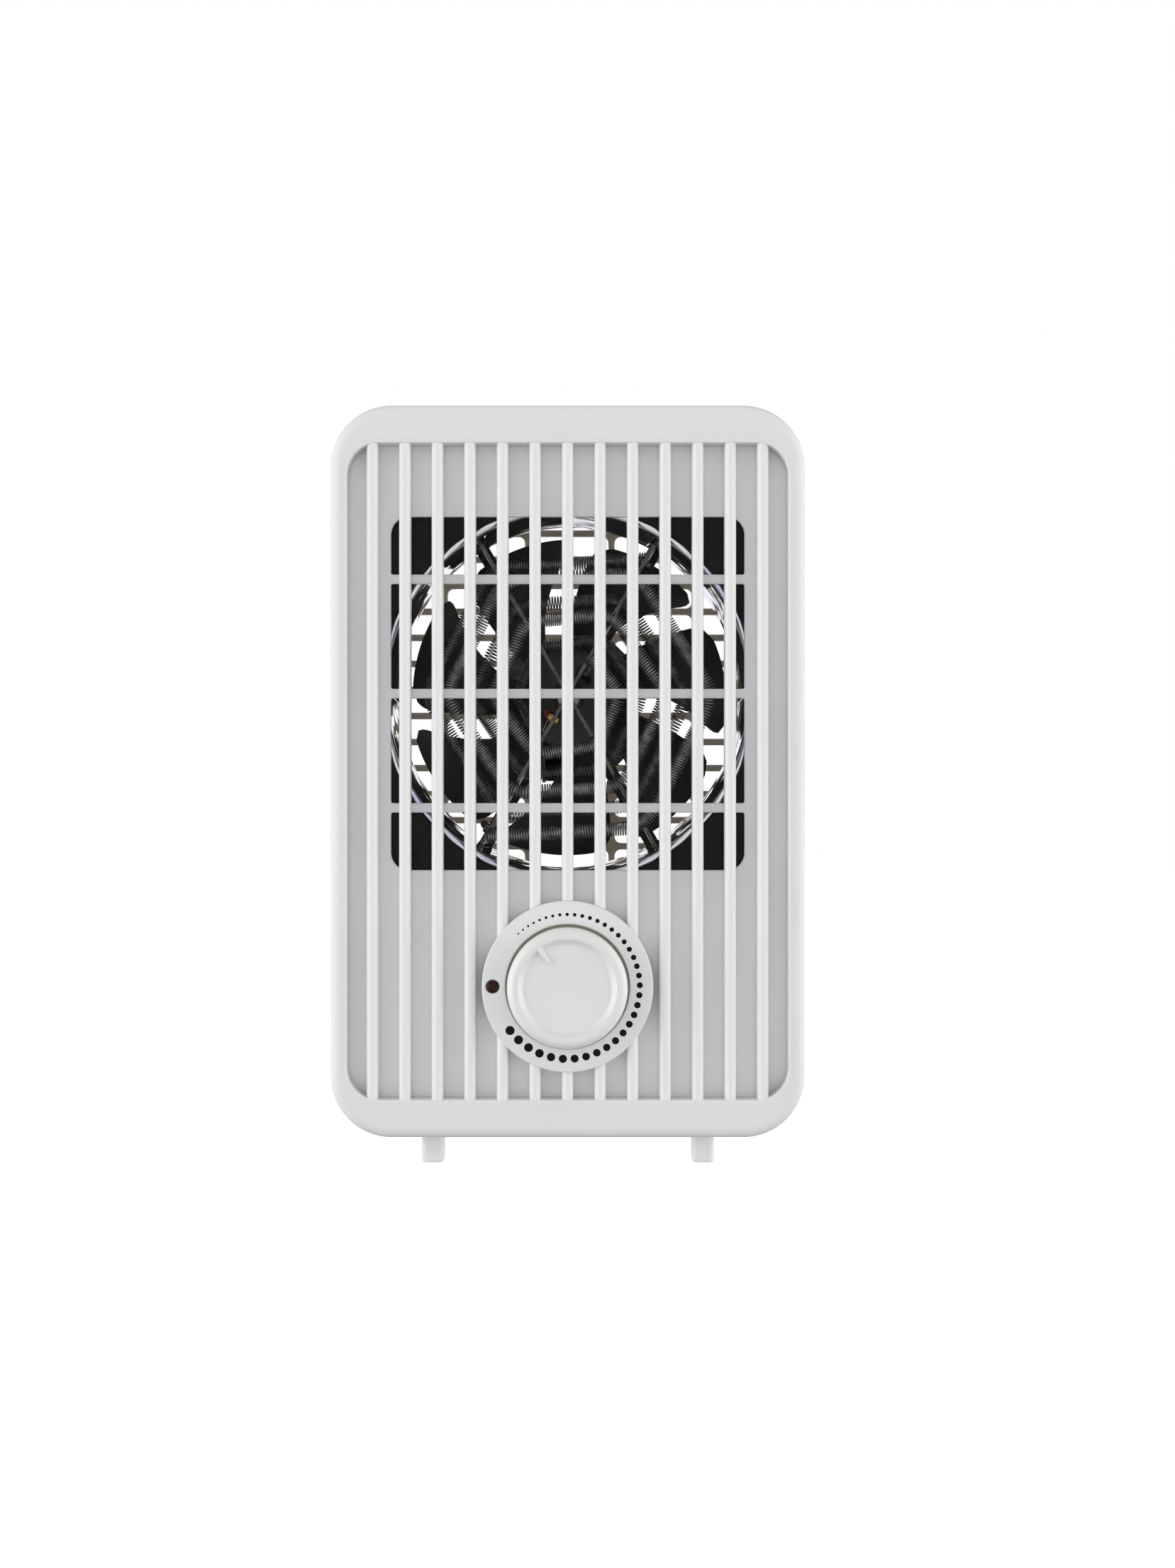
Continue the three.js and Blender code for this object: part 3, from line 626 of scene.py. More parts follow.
# One look for each material slot of the record, then the looks that some pieces have instead.
LOOKS = {
    "white_plastic": white_casing("white_plastic"),
    "knob_plastic": plastic("knob_plastic", (0.84, 0.838, 0.828), 0.3, relief=0.002,
                            vary=0.012, uneven=0.015, coat=1.0),
    "black_plastic": plastic("black_plastic", (0.0045, 0.0045, 0.005), 0.5, vary=0.3,
                             specular=0.28),
    "lens_plastic": dark_lens(),
    "polished_steel": polished_steel(),
    "zinc_steel": metal("zinc_steel", (0.62, 0.62, 0.60), 0.32, tint=(0.50, 0.50, 0.53)),
    "nichrome": nichrome(),
    "mica": mica(),
    "core_steel": metal("core_steel", (0.30, 0.30, 0.32), 0.45, tint=(0.20, 0.18, 0.17)),
    "copper": metal("copper", (0.26, 0.09, 0.04), 0.32, tint=(0.16, 0.055, 0.028), relief=0.004),
    "brass": metal("brass", (0.72, 0.52, 0.22), 0.25, tint=(0.55, 0.36, 0.14)),
    "ceramic": glazed("ceramic", (0.76, 0.73, 0.66), 0.35),
    "nylon": glazed("nylon", (0.70, 0.69, 0.62), 0.42),
    "red_sleeve": woven("red_sleeve", (0.60, 0.045, 0.03)),
    "blue_sleeve": woven("blue_sleeve", (0.035, 0.09, 0.42)),
}
# Some light comes through the rear half, which is thin and lit from behind.
THIN_WHITE = white_casing("white_plastic_thin", subsurface=0.72,
                          subsurface_radius=(1.0, 0.82, 0.60), subsurface_scale=3.4 * MM)
INK = plastic("dial_ink", (0.006, 0.006, 0.0075), 0.6, relief=0.004, vary=0.35, specular=0.12)
# A lighter copy of the casing's white for the slats and the feet: painted light, which makes up for
# the light they lack.
WHITE_PAINTED_LIGHT = plastic("white_plastic_painted_light", (0.875, 0.882, 0.875), 0.36, vary=0.015, coat=0.15)
# A lighter copy of the white for the recessed panel: painted light against the shade it sits in
# behind the slats.
PANEL_WHITE_PAINTED_LIGHT = plastic("panel_plastic_painted_light", (0.915, 0.924, 0.936), 0.4, vary=0.02, coat=0.1)
# A brown ring in the gap round the knob: painted shade, which stands for the shaded gap.
GAP_SHADE_BROWN = plastic("painted_gap_shade", (0.36, 0.33, 0.26), 0.6, relief=0.01, vary=0.1, specular=0.2)
# Lighter copies of the black plastic for the fan, its shroud and its hub: painted light, which
# makes up for the shade inside the casing. The hub's copy is lighter still.
FAN_BLACK_PAINTED_LIGHT = plastic("fan_plastic_painted_light", (0.11, 0.108, 0.104), 0.45, vary=0.3)
HUB_GREY_PAINTED_LIGHT = plastic("hub_plastic_painted_light", (0.22, 0.212, 0.195), 0.45, vary=0.25)
LEAD_GREY = woven("lead_grey", (0.10, 0.09, 0.08))


# ---- Casing ----

body_outline = rounded_rect(0, middle_z, body_width, body_height, BODY_CORNER, steps=16)
lip_outline = rounded_rect(0, middle_z, *OPENING, steps=16)
inner_width = body_width - 2 * (WALL + GAP)


def front_moulding():
    """The front half: a frame with a softly rounded front, and a post behind each screw."""
    opening = lip_outline(LIP_WIDTH + FIT)
    bore, post = 1.5, 3.3
    solid = Solid()
    rings = [solid.ring(opening, 0)]
    rings += solid.near_edge(body_outline, 0, EDGE_ROUND, 12, grow=-FACE_SPREAD)
    rings += solid.far_edge(body_outline, PARTING, SEAM_SOFT, 3)
    rings.append(solid.ring(body_outline(-WALL), PARTING))
    rings.append(solid.ring(body_outline(-WALL), WALL))
    rings.append(solid.ring(opening, WALL))
    solid.strips(rings, closed=True)
    for x, z in POSTS:
        collar(solid, x, z, bore, post, WALL - INTO, POST_END, segments=24)
    piece("front_moulding", solid, "white_plastic", stands_for=["front_shell"], sharp=25)


def intake_slots():
    """Rows of slots in five columns about the fan's axis. The outer columns have fewer rows."""
    pitch, slot_height, corner = 10.0, 7.5, 2.4
    slots = []
    for x, width, rows_each_side in [(0, 29.6, 7), (32, 29.6, 6), (56.4, 14, 4)]:
        for row in range(-rows_each_side, rows_each_side + 1):
            z = fan_z + row * pitch
            slots += [rounded_rect(side, z, width, slot_height, corner, steps=5)
                      for side in sorted({-x, x})]
    return slots


def rear_moulding():
    """The rear half: a tongue that fits inside the front half, the intake and the screw wells."""
    seam = PARTING + GAP
    tongue_outer = WALL + GAP
    tongue_inner = tongue_outer + 1.2
    tongue_front, tongue_foot, wall_front = seam - 4, seam + 1.5, seam + 3
    well, well_wall, bore = 3.8, 5.2, 1.7
    soft = edge_steps(0.5, 3)
    solid = Solid()
    rings = [solid.ring(body_outline(-inset), behind_front) for inset, behind_front in [
        (WALL, body_depth - WALL), (WALL, wall_front), (tongue_inner, tongue_foot),
        (tongue_inner, tongue_front), (tongue_outer, tongue_front), (tongue_outer, seam),
    ]]
    rings += solid.near_edge(body_outline, seam, SEAM_SOFT, 3)
    rings += solid.far_edge(body_outline, body_depth, EDGE_ROUND, 10)
    solid.strips(rings)
    holes = intake_slots()
    holes += [circle(x, z, well, 32) for x, z in POSTS]
    holes.append(circle(*axis_of("cord_gland"), GLAND_RADIUS + GAP, 40))
    outside = [rings[-1]]
    inside = [rings[0]]
    for hole in holes:
        walls = [solid.ring(hole(inset), body_depth - rise) for inset, rise in soft]
        walls.append(solid.ring(hole(), body_depth - WALL))
        solid.strips(walls)
        outside.append(walls[0])
        inside.append(walls[-1])
    solid.fill(outside)
    solid.fill(inside)
    for x, z in POSTS:
        lathe(solid, x, z, [
            (bore, POST_END + GAP), (well_wall, POST_END + GAP),
            (well_wall, body_depth - INTO), (well, body_depth - INTO),
            (well, SCREW_SEAT), (bore, SCREW_SEAT),
        ], closed=True, segments=32)
    piece("rear_moulding", solid, "white_plastic", THIN_WHITE,
          stands_for=["rear_shell"], sharp=25)


def feet():
    """Four feet: a softly rounded pad under the casing, and a stud up through its wall."""
    corner, stud_radius = 2.0, 2.0
    for end in ("front", "rear"):
        for side in ("left", "right"):
            foot = f"foot_{end}_{side}"
            low, high = box(foot)
            middle = (low + high) / 2
            solid = Solid()
            pad = rounded_rect(middle.x, middle.y, high.x - low.x, high.y - low.y, corner, steps=6)
            prism(solid, pad, low.z, shell_low.z - GAP, rounding=0.9, steps=5)
            stud = circle(middle.x, middle.y, stud_radius, 24)
            prism(solid, stud, shell_low.z - INTO, high.z, rounding=0.3)
            # The pads have the lighter copy of the casing's white, which is painted light.
            piece(f"pad_{end}_{side}", solid, "white_plastic", WHITE_PAINTED_LIGHT, stands_for=[foot])


# ---- Grille, panel and dial ----


def slat(solid, x, low, high):
    """A bar with softly rounded front edges. Its ends are given as functions of x."""
    set_back = 0.25
    near = RIM_FRONT + set_back
    far = GAP + GRILLE_DEPTH
    half = SLAT_WIDTH / 2
    front_soft, back_soft = 1.8, 0.4
    section = filleted([
        (x - half, near, front_soft), (x + half, near, front_soft),
        (x + half, far, back_soft), (x - half, far, back_soft),
    ], steps=8)
    solid.capped([solid.raw([(u, front_y + v, end(u)) for u, v in section])
                  for end in (low, high)])


def grille_rim():
    """The lip round the opening, and the flange behind it that fills the casing's width."""
    width, height, corner = OPENING
    near = RIM_FRONT
    far = GAP + GRILLE_DEPTH
    solid = Solid()
    rings = [solid.ring(lip_outline(inset), near + rise)
             for inset, rise in reversed(edge_steps(LIP_SOFT, 5))]
    rings.append(solid.ring(lip_outline(LIP_WIDTH), near))
    rings.append(solid.ring(lip_outline(LIP_WIDTH), far))
    rings.append(solid.ring(lip_outline(), far))
    solid.strips(rings, closed=True)
    past_lip, hole_past_lip, thick = 3.2, 0.5, 1.5
    flange = rounded_rect(0, middle_z, inner_width, height + 2 * past_lip, corner=14)
    hole = rounded_rect(0, middle_z, width + 2 * hole_past_lip, height + 2 * hole_past_lip,
                        corner + hole_past_lip)
    plate(solid, flange, [hole], WALL + GAP, WALL + GAP + thick)
    piece("grille_rim", solid, "white_plastic", stands_for=["front_grille"], sharp=25)


def grille_slats():
    """Upright slats from lip to lip. Those that meet the dial stop short of it in an arc."""
    width, height, corner = OPENING
    clear = dial_radius + 3 * FIT
    solid = Solid()

    def reach(x):
        """Half the height of the opening at x, which shrinks in the round corners."""
        over = min(max(abs(x) - (width / 2 - corner), 0), corner)
        return height / 2 - corner + math.sqrt(corner ** 2 - over ** 2) + LIP_SOFT

    def bottom(x):
        return middle_z - reach(x)

    def top(x):
        return middle_z + reach(x)

    def under_dial(x):
        return dial_z - math.sqrt(clear ** 2 - x ** 2)

    def over_dial(x):
        return dial_z + math.sqrt(clear ** 2 - x ** 2)

    for i in range(SLAT_COUNT):
        x = (i - (SLAT_COUNT - 1) / 2) * SLAT_PITCH
        if abs(x) < clear:
            slat(solid, x, bottom, under_dial)
            slat(solid, x, over_dial, top)
        else:
            slat(solid, x, bottom, top)
    # The slats have the lighter copy of the casing's white, which is painted light.
    piece("grille_slats", solid, "white_plastic", WHITE_PAINTED_LIGHT, sharp=25)


def window_opening(low, high, round_low, round_high):
    """One opening between two bars of the window, as an outline that can grow."""

    def outline(grow=0.0):
        half = WINDOW / 2 + grow
        top = high + grow
        bottom = low - grow
        return filleted([
            (half, bottom, round_low + grow), (half, top, round_high + grow),
            (-half, top, round_high + grow), (-half, bottom, round_low + grow),
        ], steps=8)

    return outline


def panel_moulding():
    """The panel behind the slats: a barred window for the air, and holes for the dial and lamp."""
    near, far = depths("front_panel")
    half_bar = BAR_THICKNESS / 2
    bar_corner = 0.7
    spindle_hole = 4.7
    lamp_hole = LAMP_RADIUS + 0.5
    margin = 3.5
    bars = [side * BAR_PITCH for side in (-1, 0, 1)]
    lows = [(-WINDOW / 2, WINDOW_CORNER)] + [(bar + half_bar, bar_corner) for bar in bars]
    highs = [(bar - half_bar, bar_corner) for bar in bars] + [(WINDOW / 2, WINDOW_CORNER)]
    holes = [window_opening(fan_z + low, fan_z + high, round_low, round_high)
             for (low, round_low), (high, round_high) in zip(lows, highs)]
    holes.append(circle(0, dial_z, spindle_hole, 32))
    holes.append(circle(-LAMP_RING, dial_z, lamp_hole, 24))
    outer = rounded_rect(0, middle_z, inner_width, body_height - 2 * margin, corner=18)
    solid = Solid()
    plate(solid, outer, holes, near, far, near_round=0.45, far_round=0.3)
    # The panel has the lighter copy of the white, which is painted light.
    piece("panel_moulding", solid, "white_plastic", PANEL_WHITE_PAINTED_LIGHT,
          stands_for=["front_panel"], sharp=25)


def dial_moulding():
    """The dial's flat ring on its two walls, and a brown ledge round the knob whose colour is
    painted shade for the gap there.
    """
    face, back = depths("dial_plate")
    thick, skirt_wall, well_wall = 2.2, 1.5, 1.25
    walls_from = face + 2
    lamp_hole = LAMP_RADIUS + 0.15
    outer = circle(0, dial_z, dial_radius, 128)
    holes = [circle(0, dial_z, WELL_RADIUS, 128), circle(-LAMP_RING, dial_z, lamp_hole, 40)]
    solid = Solid()
    plate(solid, outer, holes, face, face + thick, near_round=0.55, steps=5)
    collar(solid, 0, dial_z, dial_radius - skirt_wall, dial_radius, walls_from, back)
    collar(solid, 0, dial_z, WELL_RADIUS, WELL_RADIUS + well_wall, walls_from, back)
    piece("dial_moulding", solid, "white_plastic", stands_for=["dial_plate"], sharp=25)
    # The ledge's brown is painted shade for the gap between the knob and the dial.
    ledge, ledge_thick = face + 1.1, 0.8
    inner, outer = KNOB_RADIUS + 0.1, WELL_RADIUS - 0.02
    ring = Solid()
    collar(ring, 0, dial_z, inner, outer, ledge, ledge + ledge_thick)
    piece("painted_gap_shade", ring, "nylon", GAP_SHADE_BROWN)


def dial_dots():
    """Dots that grow round the scale, set ever further apart, printed on the dial."""
    count = 38
    ring = 24.6
    start, sweep = 132.8, 275.5
    first_step, last_step = 4.8, 10.1
    small, large = 0.32, 1.58
    proud, sunk, slope = 0.03, 0.02, 0.02
    face, _ = depths("dial_plate")
    steps = [first_step + (last_step - first_step) * k / (count - 2) for k in range(count - 1)]
    solid = Solid()
    for k in range(count):
        angle = math.radians(start - sum(steps[:k]) * sweep / sum(steps))
        radius = small + (large - small) * k / (count - 1)
        dot = circle(ring * math.cos(angle), dial_z + ring * math.sin(angle), radius, 24)
        solid.capped([solid.ring(dot(-slope), face - proud), solid.ring(dot(), face + sunk)])
    piece("dial_dots", solid, "black_plastic", INK)


def indicator():
    """The lamp's lens: a low dome that stands a little proud of the casing's front."""
    steps = 8
    proud, dome, back = 0.6, 0.75, 2
    profile = []
    for k in range(steps + 1):
        angle = k / steps * math.pi / 2
        profile.append((LAMP_RADIUS * math.sin(angle), -proud - dome * math.cos(angle)))
    profile += [(LAMP_RADIUS, back), (0, back)]
    solid = Solid()
    lathe(solid, -LAMP_RING, dial_z, profile, segments=40)
    piece("indicator_dome", solid, "lens_plastic", stands_for=["indicator_lens"])


def knob_moulding():
    """A round knob with a broad soft shoulder, a shallow dish and a raised pointer."""
    front, back = depths("thermostat_knob")
    spindle_front, _ = depths("thermostat_spindle")
    dish = front + 1.7
    dish_radius, dish_soft = 15.1, 1.1
    crest = 17.5
    shoulder, fall = KNOB_RADIUS - 0.05 - crest, 2.5
    inside = dish + 1.6
    skirt_wall, skirt_root = 1.8, 2.2
    boss, boss_bore = 6.0, 3.3
    steps = 12
    profile = filleted([
        (0, dish, 0), (dish_radius, dish, dish_soft), (crest - 0.8, front + 0.1, 0.5),
        (crest, front, 0),
    ], closed=False, steps=8)
    for k in range(1, steps + 1):
        angle = k / steps * math.pi / 2
        profile.append((crest + shoulder * math.sin(angle), front + fall * (1 - math.cos(angle))))
    profile += [
        (KNOB_RADIUS, back), (KNOB_RADIUS - skirt_wall, back), (KNOB_RADIUS - skirt_root, inside),
        (boss, inside), (boss, back), (boss_bore, back), (boss_bore, spindle_front - GAP),
        (0, spindle_front - GAP),
    ]
    solid = Solid()
    lathe(solid, 0, dial_z, profile, segments=160)

    def ridge(grow=0.0):
        """The pointer, narrower and less round at its inner end."""
        inner, outer = 10.3 - grow, 17.2 + grow
        half_inner, half_outer = 0.62 + grow, 1.1 + grow
        soft_inner, soft_outer = 0.6 + grow, 0.9 + grow
        outline = filleted([
            (inner, -half_inner, soft_inner), (outer, -half_outer, soft_outer),
            (outer, half_outer, soft_outer), (inner, half_inner, soft_inner),
        ], steps=5)
        return laid_at(outline, math.radians(POINTER_ANGLE), 0, dial_z)

    set_back, foot_spread, foot_sunk = 0.12, 0.25, 0.6
    rings = solid.near_edge(ridge, front + set_back, radius=0.5, steps=5)
    rings.append(solid.ring(ridge(foot_spread), dish + foot_sunk))
    solid.capped(rings)
    piece("knob_moulding", solid, "knob_plastic", body="knob",
          stands_for=["thermostat_knob"], sharp=28)


# ---- Heating element ----


def sleeve():
    """The polished sleeve: a flared mouth with a rolled edge, and slots that take the boards."""
    start, end = depths("heater_sleeve")
    inner = [
        (MOUTH_RADIUS - 0.1, start + 0.03), (MOUTH_RADIUS - 0.7, start + 0.2),
        (MOUTH_RADIUS - 1.2, start + 0.5), (MOUTH_RADIUS - 1.6, start + 1.1),
        (FLARE_RADIUS + 0.1, start + 2), (FLARE_RADIUS, start + 3), (THROAT_RADIUS, end),
    ]
    outer = [
        (THROAT_RADIUS + SLEEVE_WALL, end), (FLARE_RADIUS + SLEEVE_WALL, start + 3.2),
        (MOUTH_RADIUS - 0.7, start + 1.9), (MOUTH_RADIUS - 0.1, start + 1.1),
        (MOUTH_RADIUS + SLEEVE_WALL, start + 0.7),
        (MOUTH_RADIUS + SLEEVE_WALL - 0.1, start + 0.15), (MOUTH_RADIUS + 0.4, start),
    ]
    solid = Solid()
    lathe(solid, 0, fan_z, inner + outer, closed=True, segments=160)
    wall = object_from("sleeve_tube", solid, sharp=40)
    reach, half_slot = 66.0, 0.9
    slot_near, slot_far = 25.7, 36.3
    cutters = []
    for k in range(3):
        slot = Solid()
        outline = bar(-reach, reach, half_slot, k * math.pi / 3, 0, fan_z)
        slot.capped([slot.ring(outline, slot_near), slot.ring(outline, slot_far)])
        cutters.append(object_from(f"slot_{k}", slot))
    piece("sleeve_tube", carved(wall, cutters), "polished_steel", stands_for=["heater_sleeve"])
    seam_lap(start, end)


def seam_lap(start, end):
    """The sleeve is a rolled strip, and one end laps over the other on its inside."""
    middle, half = math.radians(-49), math.radians(3.2)
    thick = 0.35
    steps = 8
    near, far = start + 3.5, end - 0.2
    solid = Solid()
    rings = []
    for k in range(steps + 1):
        across = 2 * k / steps - 1
        angle = middle + half * across
        inset = thick * min(1, 4 * (1 - abs(across)) + 0.6)
        section = [(FLARE_RADIUS + 0.2, near), (THROAT_RADIUS + 0.2, far),
                   (THROAT_RADIUS - inset, far), (FLARE_RADIUS - inset, near)]
        rings.append(solid.raw([
            (radius * math.cos(angle), front_y + behind_front, fan_z + radius * math.sin(angle))
            for radius, behind_front in section
        ]))
    solid.capped(rings)
    piece("sleeve_seam", solid, "polished_steel")


def baffle_moulding():
    """The square baffle between the sleeve's mouth and the panel, with a collar round the mouth."""
    near, far = depths("fan_baffle")
    side, corner, thick = 136.0, 5.0, 2.0
    screw_reach, screw_hole = 63.0, 1.5
    mouth, wall = MOUTH_RADIUS + SLEEVE_WALL + GAP, 1.8
    holes = [circle(0, fan_z, mouth, 128)]
    holes += [circle(x * screw_reach, fan_z + z * screw_reach, screw_hole, 16)
              for x, z in CORNERS]
    solid = Solid()
    plate(solid, rounded_rect(0, fan_z, side, side, corner), holes, near, near + thick,
          near_round=0.3)
    collar(solid, 0, fan_z, mouth, mouth + wall, near + thick - INTO, far)
    piece("baffle_moulding", solid, "black_plastic", stands_for=["fan_baffle"])


def coil_route(start_angle):
    """A coil's centre line: a six-sided spiral from board to board, with soft bends."""
    sides = 6
    corners = []
    for k in range(int(sides * COIL_TURNS) + 1):
        angle = start_angle + 2 * math.pi * k / sides
        radius = COIL_OUTER - COIL_PITCH * k / sides
        bend = 0.25 * radius
        corners.append((radius * math.cos(angle), radius * math.sin(angle), bend))
    return np.array(filleted(corners, closed=False, steps=8))


def unit(rows):
    """Each row as a vector of length one."""
    return rows / np.linalg.norm(rows, axis=1)[:, None]


def wound_coil(name, node, degrees, behind_front, phase):
    """Real turns of wire along the coil's route, a little uneven, like a stretched spring."""
    loop_pitch = 0.88
    per_turn = 12
    sides = 6

    # Each step of the winding, at a place along the route that is not quite even.
    route = coil_route(math.radians(degrees))
    lengths = np.concatenate([[0], np.cumsum(np.linalg.norm(np.diff(route, axis=0), axis=1))])
    total = lengths[-1]
    count = int(total / loop_pitch * per_turn)
    t = np.linspace(0, 1, count)
    uneven = 0.0035 * (np.sin(37 * t + phase) + 0.6 * np.sin(91 * t + 2 * phase))
    at = np.clip((t + uneven * np.sin(math.pi * t)) * total, 0, total)
    x = np.interp(at, lengths, route[:, 0])
    z = np.interp(at, lengths, route[:, 1])
    ahead = np.gradient(np.stack([x, z], 1), axis=0)
    smooth = np.ones(9) / 9
    ahead = unit(np.stack([np.convolve(ahead[:, i], smooth, "same") for i in range(2)], 1))

    # The loops, round a centre line that sags and wanders.
    turn = 2 * math.pi * np.arange(count) / per_turn
    loop = (COIL_RADIUS - WIRE_RADIUS) * (1 + 0.015 * np.sin(53 * t + phase))
    wander = 0.35 * np.sin(41 * t + phase)
    sag = 0.4 * np.sin(29 * t + 3 * phase)
    side = np.stack([ahead[:, 1], np.zeros(count), -ahead[:, 0]], 1)
    back = np.array([0.0, 1.0, 0.0])
    radial = np.cos(turn)[:, None] * side + np.sin(turn)[:, None] * back
    middle = np.stack([x, front_y + behind_front + wander, fan_z + z], 1)
    middle[:, 2] -= sag
    wire = middle + loop[:, None] * radial

    # The wire's own round skin.
    tangent = unit(np.gradient(wire, axis=0))
    first = unit(radial - (radial * tangent).sum(1)[:, None] * tangent)
    second = np.cross(tangent, first)
    around = 2 * math.pi * np.arange(sides) / sides
    skin = (wire[:, None, :]
            + WIRE_RADIUS * (np.cos(around)[None, :, None] * first[:, None, :]
                             + np.sin(around)[None, :, None] * second[:, None, :]))
    solid = Solid()
    solid.capped([solid.raw(section.tolist()) for section in skin])
    piece(name, solid, "nichrome", stands_for=[node], sharp=80)


# ---- Fan ----


def impeller():
    """The fan: a cupped hub and its blades."""
    near, _ = depths("fan_impeller")
    length = 19.0
    back = near + length
    floor_back = near + 2.5
    bore, boss, wall = 1.9, 6.0, 2.0
    recess_floor, recess, recess_rim = near + 0.5, 5.0, 5.6
    profile = filleted([
        (bore, recess_floor, 0), (recess, recess_floor, 0.2), (recess_rim, near, 0.2),
        (HUB_RADIUS, near, 2.2), (HUB_RADIUS, back, 0), (HUB_RADIUS - wall, back, 0),
        (HUB_RADIUS - wall, floor_back, 0), (boss, floor_back, 0), (boss, back, 0),
        (bore, back, 0),
    ], closed=False, steps=6)
    hub = Solid()
    lathe(hub, 0, fan_z, profile, closed=True, segments=96)
    # The hub has a lighter copy of the black plastic, which is painted light.
    piece("impeller_hub", hub, "black_plastic", HUB_GREY_PAINTED_LIGHT, body="fan",
          stands_for=["fan_impeller"], sharp=50)
    blades = Solid()
    for i in range(BLADE_COUNT):
        blade(blades, BLADE_PHASE + 2 * math.pi * i / BLADE_COUNT, near + length / 2)
    # The blades have a lighter copy of the black plastic, which is painted light.
    piece("impeller_blades", blades, "black_plastic", FAN_BLACK_PAINTED_LIGHT, body="fan", sharp=50)


def blade(solid, phase, middle):
    """One blade: a twisted sheet whose edges sweep back, thinner and rounded towards its tip."""
    root = HUB_RADIUS - 1.2  # inside the hub's wall
    tip_from = 0.86
    half_thick = 0.8
    root_half, gain, tip_round = 0.25, 0.14, 0.11  # radians
    long_steps, wide_steps = 24, 16
    front = []
    rear = []
    for i in range(long_steps + 1):
        t = i / long_steps
        radius = root + t * (BLADE_TIP - root)
        tip = max(0.0, (t - tip_from) / (1 - tip_from))
        half = root_half + gain * t - tip_round * (1 - math.sqrt(max(0.0, 1 - tip ** 2)))
        for j in range(wide_steps + 1):
            u = 2 * j / wide_steps - 1
            angle = phase + u * half - BLADE_SWEEP * t
            edge = min(1.0, math.sqrt(max(0.0, 1 - abs(u) ** 6)) + 0.15)
            thick = half_thick * edge * (1 - 0.4 * t)
            y = front_y + middle + BLADE_TWIST * u * half
            x = radius * math.cos(angle)
            z = fan_z + radius * math.sin(angle)
            front.append((x, y - thick, z))
            rear.append((x, y + thick, z))
    wide = wide_steps + 1
    front = solid.raw(front)
    rear = solid.raw(rear)
    for i in range(long_steps):
        for j in range(wide_steps):
            a = i * wide + j
            corners = (a, a + 1, a + wide + 1, a + wide)
            solid.face([front[c] for c in corners], smooth=True)
            solid.face([rear[c] for c in reversed(corners)], smooth=True)
    rim = list(range(wide))
    rim += [i * wide + wide_steps for i in range(1, long_steps + 1)]
    rim += [long_steps * wide + j for j in reversed(range(wide_steps))]
    rim += [i * wide for i in reversed(range(1, long_steps))]
    solid.strip([front[c] for c in rim], [rear[c] for c in rim])


def shroud():
    """The fan's shroud, and the four legs and the seat that carry the motor."""
    near, far = depths("motor_spider")
    socket = THROAT_RADIUS + SLEEVE_WALL + 0.7
    socket_end = near + 2.5
    outer = SHROUD_RADIUS + 2
    bars_from = far - 3
    soft = 0.4
    solid = Solid()
    lathe(solid, 0, fan_z, filleted([
        (socket, near, 0.3), (outer, near, 0.6), (outer, far, soft), (SHROUD_RADIUS, far, soft),
        (SHROUD_RADIUS, socket_end, 0), (socket, socket_end, 0.3),
    ], steps=3), closed=True, segments=128)
    half_leg = 2.5
    leg_from, leg_to = 9, SHROUD_RADIUS + INTO
    for degrees in (60, 120, 240, 300):

        def leg(grow=0.0, angle=math.radians(degrees)):
            return bar(leg_from, leg_to, half_leg + grow, angle, 0, fan_z)

        plate(solid, leg, [], bars_from, far, near_round=soft, far_round=soft)
    seat = rounded_rect(0, fan_z, width=50, height=15, corner=3)
    shaft_hole = circle(0, fan_z, 5, 32)
    plate(solid, seat, [shaft_hole], bars_from, far, near_round=soft, far_round=soft)
    # The shroud has the fan's lighter copy of the black plastic, which is painted light.
    piece("shroud_moulding", solid, "black_plastic", FAN_BLACK_PAINTED_LIGHT, stands_for=["motor_spider"])


def motor_core():
    """A stack of punched sheets with the rotor's bore, a window for the wire and screw holes."""
    near, far = depths("motor_core")
    sheet = 0.5
    relief, bevel = 0.07, 0.22  # how far a sheet stands out, and the share of it that slopes
    half, top, bottom, corner = 24.0, 22.0, -26.0, 8.0
    soft = 1.0
    bore = 12.4
    screw_reach, screw_hole = 19.5, 1.9

    def edge(grow=0.0):
        side = half + grow
        corners = filleted([
            (corner - half, bottom - grow, soft), (half - corner, bottom - grow, soft),
            (side, bottom + corner, soft), (side, top - corner, soft),
            (half - corner, top + grow, soft), (corner - half, top + grow, soft),
            (-side, top - corner, soft), (-side, bottom + corner, soft),
        ], steps=3)
        return [(x, fan_z + z) for x, z in corners]

    window = rounded_rect(0, fan_z - 16.5, width=24, height=5, corner=0.6, steps=3)
    holes = [circle(0, fan_z, bore, 48), window]
    holes += [circle(side * screw_reach, fan_z, screw_hole, 16) for side in (-1, 1)]
    count = round((far - near) / sheet)
    edges = [(k + share, grow) for k in range(count)
             for share, grow in ((0, relief), (bevel, 0), (1 - bevel, 0))]
    edges.append((count, relief))
    solid = Solid()
    near_ends = []
    far_ends = []
    for outline in [edge, *holes]:
        inwards = -1 if outline is edge else 1
        rings = [solid.ring(outline(inwards * grow), near + at * (far - near) / count)
                 for at, grow in edges]
        solid.strips(rings)
        near_ends.append(rings[0])
        far_ends.append(rings[-1])
    solid.fill(near_ends)
    solid.fill(far_ends)
    piece("core_stack", solid, "core_steel", stands_for=["motor_core"])


